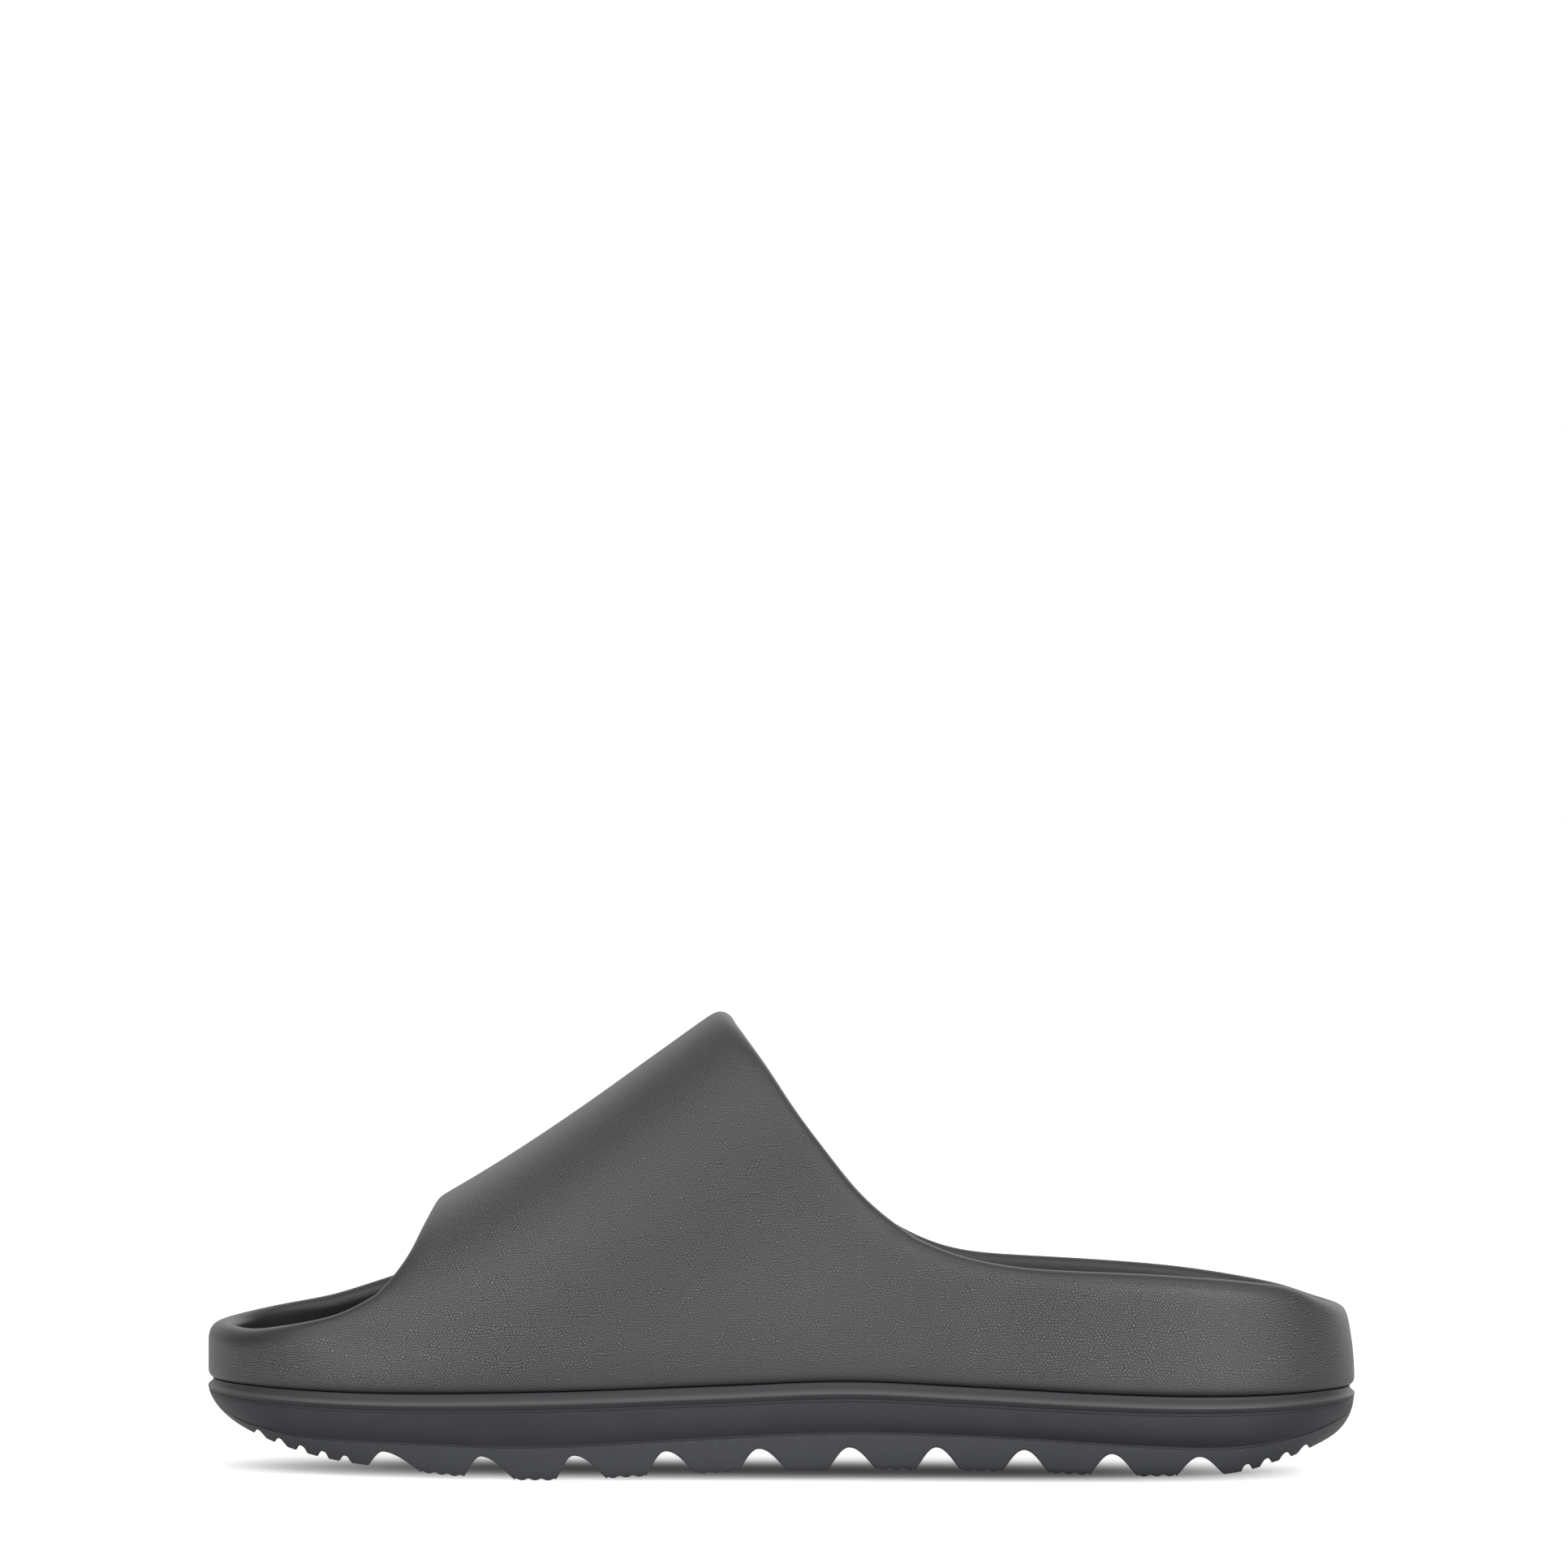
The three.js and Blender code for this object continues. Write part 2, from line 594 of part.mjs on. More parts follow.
function insoleGeometry() {
  const inset = WALL + FIT_GAP;
  const edgeRound = 1;
  const wall = (turn, height, extra) => {
    const line = outlineAt(turn);
    const point = insideWall(turn, height, inset);
    return new THREE.Vector3(point.x - line.outX * extra, point.y - line.outY * extra, height);
  };
  const onBed = (turn, fromEdge) => {
    const line = outlineAt(turn);
    const flat = wall(turn, footHeight(line.at), fromEdge);
    flat.z = bedHeight(atOf(flat.x), flat.y, fromEdge);
    return flat;
  };
  const bottom = TURNS.map((turn) => {
    const line = outlineAt(turn);
    return wall(turn, grooveHeight(line.at) + FIT_GAP / 2, 0);
  });
  const edge = TURNS.map((turn) => wall(turn, onBed(turn, 0).z - edgeRound, 0));
  const shoulder = TURNS.map((turn) => {
    const height = onBed(turn, 0).z - 0.3 * edgeRound;
    return wall(turn, height, 0.3 * edgeRound);
  });
  const dish = [edgeRound, 3.5, 7, 11, DISH_WIDTH].map((fromEdge) =>
    TURNS.map((turn) => onBed(turn, fromEdge)),
  );
  const inner = dish[dish.length - 1];
  const spine = TURNS.map((turn) => {
    const at = blend(SPINE.from, SPINE.to, outlineAt(turn).at);
    const middle = (outlineAt(turnOf(at, "outer")).y + outlineAt(turnOf(at, "inner")).y) / 2;
    return new THREE.Vector3(xOf(at), middle, bedHeight(at, middle, DISH_WIDTH));
  });
  const halfway = inner.map((point, i) => {
    const mid = point.clone().lerp(spine[i], 0.5);
    mid.z = bedHeight(atOf(mid.x), mid.y, DISH_WIDTH);
    return mid;
  });
  return bodyOfRings([spine, halfway, ...dish.reverse(), shoulder, edge, bottom]);
}

// The upper's outer face as a sheet of quads, before it gets its thickness. The low wall is one band of quads
// round the foot, and the strap is a second band that leaves its top edge on one side and joins it on the other.
function upperSheet() {
  const points = [];
  const quads = [];
  const add = (point) => points.push(point) - 1;
  const edgeSteps = [0, 0.12, 0.42, 1].map((share) => share * EDGE_ROUND);

  // Places of the strap's columns between its front and back edges: close together at both edges.
  const across = (from, to) => {
    const start = edgeSteps.map((step) => from + step);
    const end = edgeSteps.map((step) => to - step).reverse();
    const middle = [];
    for (let i = 1; i < STRAP_COLUMNS; i += 1) {
      middle.push(blend(from + EDGE_ROUND, to - EDGE_ROUND, i / STRAP_COLUMNS));
    }
    return [...start, ...middle, ...end];
  };
  const betweenTurns = (from, to) => {
    const count = Math.max(2, Math.round((to - from) / TURN_STEP));
    return Array.from({ length: count + 1 }, (_, i) => blend(from, to, i / count));
  };

  // The columns of one side from toe tip to heel tip, each with the height where the wall stops.
  const columnsOf = (side) => {
    const { frontAt, backAt, toeRim, heelRim } = corner[side];
    const toe = betweenTurns(0, turnOf(STRAP_FRONT[0].outer, "outer"));
    const heel = betweenTurns(turnOf(STRAP_BACK[0].outer, "outer"), Math.PI);
    const stretch = (turn, from, to, newFrom, newTo) =>
      blend(newFrom, newTo, (turn - from) / (to - from));
    const fitToe = (turn) => stretch(turn, 0, toe[toe.length - 1], 0, turnOf(frontAt, "outer"));
    const fitHeel = (turn) => stretch(turn, heel[0], Math.PI, turnOf(backAt, "outer"), Math.PI);
    const rimColumn = (turn, rim) => {
      const at = (1 - Math.cos(turn)) / 2;
      return { at, top: grooveHeight(at) + rim(at) };
    };
    const lowClimb = { front: angleOf(STRAP_FRONT[0].climb), back: angleOf(STRAP_BACK[0].climb) };
    const strap = across(xOf(frontAt), xOf(backAt)).map((x, i, all) => {
      const along = (x - all[0]) / (all[all.length - 1] - all[0]);
      const at = atOf(x);
      return { at, top: climbTo(at, climbOf(blend(lowClimb.front, lowClimb.back, along))) };
    });
    return {
      list: [
        ...toe.slice(0, -1).map((turn) => rimColumn(fitToe(turn), toeRim)),
        ...strap,
        ...heel.slice(1).map((turn) => rimColumn(fitHeel(turn), heelRim)),
      ],
      first: toe.length - 1,
      last: toe.length - 2 + strap.length,
    };
  };
  const outer = columnsOf("outer");
  const inner = columnsOf("inner");
  const tip = outer.list.length - 1;
  const ring = [
    ...outer.list.map((column) => ({ ...column, side: "outer" })),
    ...inner.list
      .slice(1, -1)
      .reverse()
      .map((column) => ({ ...column, side: "inner" })),
  ];

  // The low wall, row by row from the groove up.
  const heights = (column) => {
    const foot = grooveHeight(column.at) + FIT_GAP / 2;
    const low = [0, 0.4, 1].map((share) => foot + share * GROOVE_ROUND);
    const high = edgeSteps.map((step) => column.top - step).reverse();
    const middle = [1, 2].map((i) => blend(low[2], high[0], i / 3));
    return [...low, ...middle, ...high];
  };
  const grid = ring.map((column) => {
    const turn = turnOf(column.at, column.side);
    return heights(column).map((height) => add(wallPoint(turn, height)));
  });
  const topRow = grid[0].length - 1;
  for (let c = 0; c < ring.length; c += 1) {
    const next = (c + 1) % ring.length;
    for (let row = 0; row < topRow; row += 1) {
      quads.push([grid[c][row], grid[next][row], grid[next][row + 1], grid[c][row + 1]]);
    }
  }

  // The strap, from the wall's top row up to the ridge, on both sides. Its rows are closest beside the wall.
  const columns = outer.last - outer.first + 1;
  const strapPoint = (side, along, up) => {
    const angles = [STRAP_FRONT[0].climb, STRAP_BACK[0].climb].map((climb) =>
      blend(angleOf(climb), Math.PI / 2, up),
    );
    const from = xOf(frontEdge[side](climbOf(angles[0])));
    const to = xOf(backEdge[side](climbOf(angles[1])));
    const x = across(from, to)[along];
    const at = atOf(x);
    const angle = blend(angles[0], angles[1], (x - from) / (to - from));
    const half = outlineAt(turnOf(at, side)).y - CREST_SHIFT;
    const climb = climbOf(angle);
    return new THREE.Vector3(x, CREST_SHIFT + half * archWidth(Math.min(1, climb)), climbTo(at, climb));
  };
  const ridge = Array.from({ length: columns }, (_, i) => add(strapPoint("outer", i, 1)));
  const strapRows = { outer: [], inner: [] };
  for (const side of ["outer", "inner"]) {
    const lowest = Array.from({ length: columns }, (_, i) => {
      const column = outer.first + i;
      return grid[side === "outer" ? column : (2 * tip - column) % ring.length][topRow];
    });
    strapRows[side].push(lowest);
    for (let row = 1; row < STRAP_ROWS; row += 1) {
      strapRows[side].push(
        Array.from({ length: columns }, (_, i) =>
          add(strapPoint(side, i, (row / STRAP_ROWS) ** ROW_POWER)),
        ),
      );
    }
    strapRows[side].push(ridge);
    for (let row = 0; row < STRAP_ROWS; row += 1) {
      const [low, high] = strapRows[side].slice(row, row + 2);
      for (let i = 0; i + 1 < columns; i += 1) {
        const face = [low[i], low[i + 1], high[i + 1], high[i]];
        quads.push(side === "outer" ? face : face.reverse());
      }
    }
  }

  // The two free edges, as runs of point numbers from the outer side over the ridge to the inner side.
  const top = (column) => grid[column % ring.length][topRow];
  const strapEdge = (index) => [
    ...strapRows.outer.slice(1).map((row) => row[index]),
    ...strapRows.inner.slice(1, -1).map((row) => row[index]).reverse(),
  ];
  const toeEdge = [
    ...Array.from({ length: outer.first + 1 }, (_, i) => top(i)),
    ...strapEdge(0),
    ...Array.from({ length: outer.first }, (_, i) => top(2 * tip - outer.first + i)),
  ];
  const heelEdge = [
    ...Array.from({ length: tip - outer.last + 1 }, (_, i) => top(tip - i)),
    ...strapEdge(columns - 1),
    ...Array.from({ length: tip - outer.last }, (_, i) => top(2 * tip - outer.last - i)),
  ];
  const base = grid.map((column) => column[0]);
  return { points, quads, edges: [toeEdge, heelEdge], base };
}

// Turns each direction a little towards its neighbours' mean, so that the rims run on smoothly past the places
// where the strap's edges meet them.
function evenOut(normals, quads) {
  for (let pass = 0; pass < 3; pass += 1) {
    const sums = normals.map((normal) => normal.clone().multiplyScalar(2));
    for (const quad of quads) {
      quad.forEach((number, i) => sums[number].add(normals[quad[(i + 1) % 4]]));
      quad.forEach((number, i) => sums[number].add(normals[quad[(i + 3) % 4]]));
    }
    sums.forEach((sum, i) => normals[i].copy(sum.normalize()));
  }
}

// The upper: the sheet is its outer face, and an inner face lies one wall thickness inside it. Both faces draw
// together in a round along the free edges, and the foot of the outer face rounds in to the groove.
function upperGeometry() {
  const { points, quads, edges, base } = upperSheet();
  const normals = points.map(() => new THREE.Vector3());
  for (const [a, b, c, d] of quads) {
    const diagonal = points[c].clone().sub(points[a]);
    const other = points[d].clone().sub(points[b]);
    const face = diagonal.cross(other);
    for (const number of [a, b, c, d]) normals[number].add(face);
  }
  normals.forEach((normal) => normal.normalize());
  evenOut(normals, quads);

  const segments = edges.flatMap((edge) =>
    edge.map((number, i) => new THREE.Line3(points[number], points[edge[(i + 1) % edge.length]])),
  );
  const nearest = new THREE.Vector3();
  const toEdge = points.map((point) =>
    Math.min(
      ...segments.map((segment) =>
        segment.closestPointToPoint(point, true, nearest).distanceTo(point),
      ),
    ),
  );
  const rounded = (distance, radius) =>
    distance >= radius ? 0 : radius - Math.sqrt(radius ** 2 - (radius - distance) ** 2);
  const innerRound = WALL - EDGE_ROUND;
  const onEdge = toEdge.map((distance) => distance < 1e-6);

  const outerPoints = points.map((point, i) => {
    const aboveGroove = point.z - grooveHeight(atOf(point.x)) - FIT_GAP / 2;
    const low = THREE.MathUtils.clamp(1 - aboveGroove / GROOVE_ROUND, 0, 1);
    const depth = rounded(toEdge[i], EDGE_ROUND) + GROOVE_DEPTH * low ** 2;
    return point.clone().addScaledVector(normals[i], -depth);
  });
  const innerPoints = points.map((point, i) =>
    point.clone().addScaledVector(normals[i], rounded(toEdge[i], innerRound) - WALL),
  );
  for (const number of base) {
    outerPoints[number].z = points[number].z;
    innerPoints[number].z = points[number].z;
  }

  const inside = (number) => (onEdge[number] ? number : number + points.length);
  const faces = [];
  const quad = (a, b, c, d) => faces.push(a, b, c, a, c, d);
  for (const [a, b, c, d] of quads) {
    quad(a, b, c, d);
    quad(inside(d), inside(c), inside(b), inside(a));
  }
  base.forEach((number, i) => {
    const next = base[(i + 1) % base.length];
    quad(number, inside(number), inside(next), next);
  });
  return geometryOf([...outerPoints, ...innerPoints], faces);
}

// A geometry as a solid that can be cut, and a cut solid as a geometry again.
function solidOf(wasm, geometry) {
  const bare = new THREE.BufferGeometry();
  bare.setAttribute("position", geometry.getAttribute("position"));
  if (geometry.index) bare.setIndex(geometry.index);
  const merged = mergeVertices(bare, 1e-4);
  return new wasm.Manifold(
    new wasm.Mesh({
      numProp: 3,
      vertProperties: merged.getAttribute("position").array,
      triVerts: new Uint32Array(merged.index.array),
    }),
  );
}

function geometryFromSolid(solid) {
  const mesh = solid.getMesh();
  const geometry = new THREE.BufferGeometry();
  geometry.setAttribute("position", new THREE.BufferAttribute(mesh.vertProperties, 3));
  geometry.setIndex(new THREE.BufferAttribute(mesh.triVerts, 1));
  return geometry;
}

function named(name, geometry, material) {
  const mesh = new THREE.Mesh(geometry, material);
  mesh.name = name;
  return mesh;
}

const foam = (color, roughness) =>
  new THREE.MeshStandardMaterial({ color, roughness, metalness: 0 });

const wasm = await Module();
wasm.setup();

const slide = new THREE.Group();
slide.add(
  named("upper", upperGeometry(), foam(0x55565a, 0.62)),
  named("insole", insoleGeometry(), foam(0x4c4d51, 0.8)),
  named("midsole", midsoleGeometry(), foam(0x45464a, 0.7)),
  named("outsole", outsoleGeometry(wasm), foam(0x4a4b4f, 0.75)),
);

export default slide;
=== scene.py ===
"""A moulded foam slide sandal for the left foot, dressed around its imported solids.

Each piece of the shoe is a class. It works its surface out from the same last as the solids do, with a finer
grid, and wears a finish of foam. Shapes are worked out in millimetres and turned to metres as a mesh is made.
X runs from the toe (-X) to the heel (+X), Y from the outer side (-Y) to the inner side (+Y), and Z is up.
"""

from __future__ import annotations

import logging
import math
from collections.abc import Sequence
from dataclasses import dataclass
from enum import Enum
from typing import Any

import bpy
import numpy as np
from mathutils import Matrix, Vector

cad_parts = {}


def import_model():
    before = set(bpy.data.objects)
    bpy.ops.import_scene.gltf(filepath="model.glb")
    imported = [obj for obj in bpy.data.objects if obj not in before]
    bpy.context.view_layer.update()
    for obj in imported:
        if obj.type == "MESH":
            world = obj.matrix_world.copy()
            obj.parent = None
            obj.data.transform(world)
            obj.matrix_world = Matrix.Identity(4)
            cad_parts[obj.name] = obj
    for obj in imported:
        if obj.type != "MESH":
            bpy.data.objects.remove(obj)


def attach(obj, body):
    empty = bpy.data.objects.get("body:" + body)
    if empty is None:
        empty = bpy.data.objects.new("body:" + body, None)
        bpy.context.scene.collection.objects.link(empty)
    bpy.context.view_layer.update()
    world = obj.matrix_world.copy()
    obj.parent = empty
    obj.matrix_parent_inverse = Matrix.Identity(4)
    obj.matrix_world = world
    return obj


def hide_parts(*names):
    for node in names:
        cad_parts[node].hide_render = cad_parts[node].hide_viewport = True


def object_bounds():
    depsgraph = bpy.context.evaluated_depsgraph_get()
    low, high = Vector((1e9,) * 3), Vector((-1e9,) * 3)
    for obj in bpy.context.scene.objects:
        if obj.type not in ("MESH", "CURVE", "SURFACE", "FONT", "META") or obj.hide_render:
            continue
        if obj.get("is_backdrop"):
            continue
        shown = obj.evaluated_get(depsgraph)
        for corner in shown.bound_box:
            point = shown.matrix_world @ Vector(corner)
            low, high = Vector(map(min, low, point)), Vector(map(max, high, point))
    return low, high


Array = np.ndarray
MM = 0.001
TINY = 1e-9
ROUND_SAMPLES = 721
log = logging.getLogger("slide")


class Curve:
    """A smooth line through rows of (x, y).

    Between two rows it is the cubic whose slope at a row is that of the parabola through the row and its two
    neighbours. Outside the table it keeps the end value.
    """

    def __init__(self, x: Sequence[float], y: Sequence[float]) -> None:
        """Keeps the rows and works out the slope at each.

        Args:
            x: The rows' places, rising.
            y: The rows' values.
        """
        self.x = np.asarray(x, float)
        self.y = np.asarray(y, float)
        span = np.diff(self.x)
        chord = np.diff(self.y) / span
        inner = (span[1:] * chord[:-1] + span[:-1] * chord[1:]) / (span[1:] + span[:-1])
        self.slope = np.concatenate([chord[:1], inner, chord[-1:]])

    def __call__(self, value: Array | float) -> Array:
        """Reads the line.

        Args:
            value: Places to read it at.

        Returns:
            The line's height at each place.
        """
        at = np.clip(value, self.x[0], self.x[-1])
        i = np.clip(np.searchsorted(self.x, at, side="right") - 1, 0, len(self.x) - 2)
        span = self.x[i + 1] - self.x[i]
        t = (at - self.x[i]) / span
        return (
            self.y[i] * (1 + 2 * t) * (1 - t) ** 2
            + self.slope[i] * span * t * (1 - t) ** 2
            + self.y[i + 1] * t**2 * (3 - 2 * t)
            + self.slope[i + 1] * span * t**2 * (t - 1)
        )


class Table:
    """A short table of sizes with named columns. Its first column is the one that the rows go by."""

    def __init__(self, columns: str, *rows: tuple[float, ...]) -> None:
        """Keeps the columns by name.

        Args:
            columns: The columns' names, with spaces between them.
            *rows: One tuple for each row.
        """
        self.names = columns.split()
        self.values = dict(zip(self.names, np.array(rows, float).T))

    def __getitem__(self, name: str) -> Array:
        """Returns the column of that name."""
        return self.values[name]

    def curve(self, name: str, scale: float = 1.0) -> Curve:
        """Returns the smooth line through a column, times a scale."""
        return Curve(self.values[self.names[0]], self.values[name] * scale)


class Side(Enum):
    """The two long sides of the shoe."""

    OUTER = "outer"
    INNER = "inner"


# Half outline at even turns round the shoe, 0 at the toe tip and 180 at the heel tip, as shares of ball width.
OUTLINE = Table(
    "turn outer inner",
    (0, 0.07, 0.07), (15, -0.13, 0.257), (30, -0.292, 0.377), (45, -0.413, 0.46), (60, -0.488, 0.505),
    (75, -0.5035, 0.485), (90, -0.472, 0.415), (105, -0.43, 0.37), (120, -0.412, 0.361),
    (135, -0.383, 0.337), (150, -0.302, 0.256), (165, -0.168, 0.124), (180, -0.022, -0.022),
)
# Groove height, as a share of the parting rise. A column named at holds shares of the length from the toe.
GROOVE = Table(
    "at rise",
    (0, 0.885), (0.14, 0.865), (0.3, 0.905), (0.45, 0.966), (0.56, 1), (0.66, 0.937), (0.77, 0.857),
    (0.84, 0.821), (0.91, 0.808), (1, 0.828),
)
# Rim height above the groove in front of the strap and behind it, as shares of the rim rise.
TOE_RIM = Table(
    "at outer inner",
    (0, 0.487, 0.487), (0.035, 0.478, 0.545), (0.07, 0.551, 0.612), (0.1, 0.639, 0.69), (0.125, 0.72, 0.775),
)
HEEL_RIM = Table(
    "at outer inner",
    (0.637, 1.149, 1.041), (0.665, 1.079, 0.991), (0.7, 1.033, 0.981), (0.75, 1.023, 0.984),
    (0.8, 1.026, 0.98), (0.85, 1.012, 0.961), (0.9, 0.976, 0.912), (0.95, 0.9, 0.838), (0.98, 0.785, 0.765),
    (1, 0.735, 0.735),
)
# Height of the strap's ridge above the groove, as a share of the crest rise.
CREST = Table(
    "at rise",
    (0.03, 0.38), (0.1, 0.38), (0.148, 0.415), (0.196, 0.489), (0.254, 0.592), (0.322, 0.728),
    (0.39, 0.874), (0.45, 1.003), (0.52, 1.146), (0.62, 1.36),
)
# The strap's two edges. Climb is the share of the way from the wall's upright foot to the ridge.
STRAP_FRONT = Table(
    "climb outer inner",
    (0.618, 0.151, 0.156), (0.7, 0.1637, 0.1677), (0.8, 0.1763, 0.1787), (0.9, 0.1845, 0.1858),
    (1, 0.1937, 0.1937),
)
STRAP_BACK = Table(
    "climb outer inner",
    (0.268, 0.6175, 0.6005), (0.31, 0.5965, 0.584), (0.36, 0.5765, 0.565), (0.42, 0.56, 0.55),
    (0.49, 0.5438, 0.536), (0.57, 0.5263, 0.5197), (0.663, 0.508, 0.502), (0.766, 0.4909, 0.4847),
    (0.87, 0.4728, 0.4682), (0.938, 0.4613, 0.4585), (1, 0.4505, 0.4505),
)
# Height of the tread above the floor, as a share of the toe spring.
TREAD = Table(
    "at rise",
    (0.03, 1), (0.042, 0.9), (0.062, 0.73), (0.082, 0.575), (0.12, 0.37), (0.16, 0.25), (0.21, 0.11),
    (0.265, 0), (0.315, 0), (0.37, 0.08), (0.45, 0.18), (0.56, 0.22), (0.65, 0.18), (0.73, 0.1),
    (0.8, 0), (0.845, 0), (0.885, 0.03), (0.905, 0.11), (0.922, 0.24), (0.94, 0.36), (0.965, 0.6),
)
FLAT_STRETCHES = ((0.265, 0.315), (0.8, 0.845))
# Top of the tread layer, as a share of the way up from the tread to the crease under the lip.
TREAD_TOP = Table(
    "at share",
    (0, 0.68), (0.02, 0.4), (0.055, 0.34), (0.12, 0.39), (0.18, 0.44), (0.3, 0.46), (0.8, 0.462),
    (0.88, 0.41), (0.93, 0.41), (0.965, 0.46), (0.985, 0.57), (1, 0.72),
)
# The valleys: the deepest place, the reach to the front and back in lug pitches, and the depth's share. Small
# teeth stand on the lug behind a valley where teeth is 1.
VALLEYS = Table(
    "at front back depth teeth",
    (0.1623, 0.18, 0.43, 0.74, 1), (0.2463, 0.2, 0.38, 1.02, 1), (0.3247, 0.2, 0.37, 1.12, 1),
    (0.4027, 0.22, 0.34, 1.1, 1), (0.4817, 0.23, 0.325, 1.04, 0), (0.5587, 0.24, 0.31, 1.03, 1),
    (0.633, 0.235, 0.28, 1.05, 1), (0.708, 0.25, 0.28, 1.03, 1), (0.783, 0.25, 0.29, 1.02, 1),
    (0.8583, 0.26, 0.28, 0.86, 0),
)
# The cove between groove and crease: how far it stands in, as a share of the groove's depth.
COVE = Table(
    "down inset",
    (0, 1), (0.1, 1.03), (0.2, 0.97), (0.3, 0.8), (0.42, 0.48), (0.52, 0.2), (0.6, 0.05), (0.67, 0),
    (0.76, 0.02), (0.86, 0.09), (0.93, 0.15), (0.975, 0.21), (1, 0.33),
)
# The fine bead under the crease: millimetres below the crease, and millimetres in from the lip.
BEAD = Table(
    "below inset",
    (0, 0.43), (0.05, 0.42), (0.13, 0.31), (0.24, 0.24), (0.42, 0.22), (0.64, 0.25), (0.72, 0.3), (0.78, 0.37),
    (0.84, 0.31), (0.94, 0.3), (1.3, 0.3),
)
# Footbed height above the groove, as a share of the bed rise.
BED = Table(
    "at rise",
    (0, 0.48), (0.12, 0.42), (0.3, 0.38), (0.45, 0.4), (0.55, 0.44), (0.66, 0.65), (0.8, 0.95),
    (0.9, 1), (1, 1.05),
)


def blend(start: Array | float, end: Array | float, share: Array | float) -> Array:
    """Returns the value at a share of the way from start to end."""
    return start + (end - start) * share


def smooth(value: Array | float, low: Array | float, high: Array | float) -> Array:
    """Returns 0 below low and 1 above high, with the cubic 3t^2 - 2t^3 between them."""
    t = np.clip((value - low) / (high - low), 0, 1)
    return t * t * (3 - 2 * t)


@dataclass(frozen=True)
class Places:
    """Points of the lip's outline, with their outward direction in plan.

    Attributes:
        x: Place along the shoe.
        y: Place across it.
        out_x: The outward direction's part along the shoe.
        out_y: The outward direction's part across it.
        at: Share of the length from the toe tip.
        outer: True on the outer side.
    """

    x: Array
    y: Array
    out_x: Array
    out_y: Array
    at: Array
    outer: Array

    def inset(self, amount: Array, height: Array) -> Array:
        """Returns the points that lie an amount in from the outline at a height, as (..., 3)."""
        x, y, z = np.broadcast_arrays(self.x - self.out_x * amount, self.y - self.out_y * amount, height)
        return np.stack([x, y, z], axis=-1)


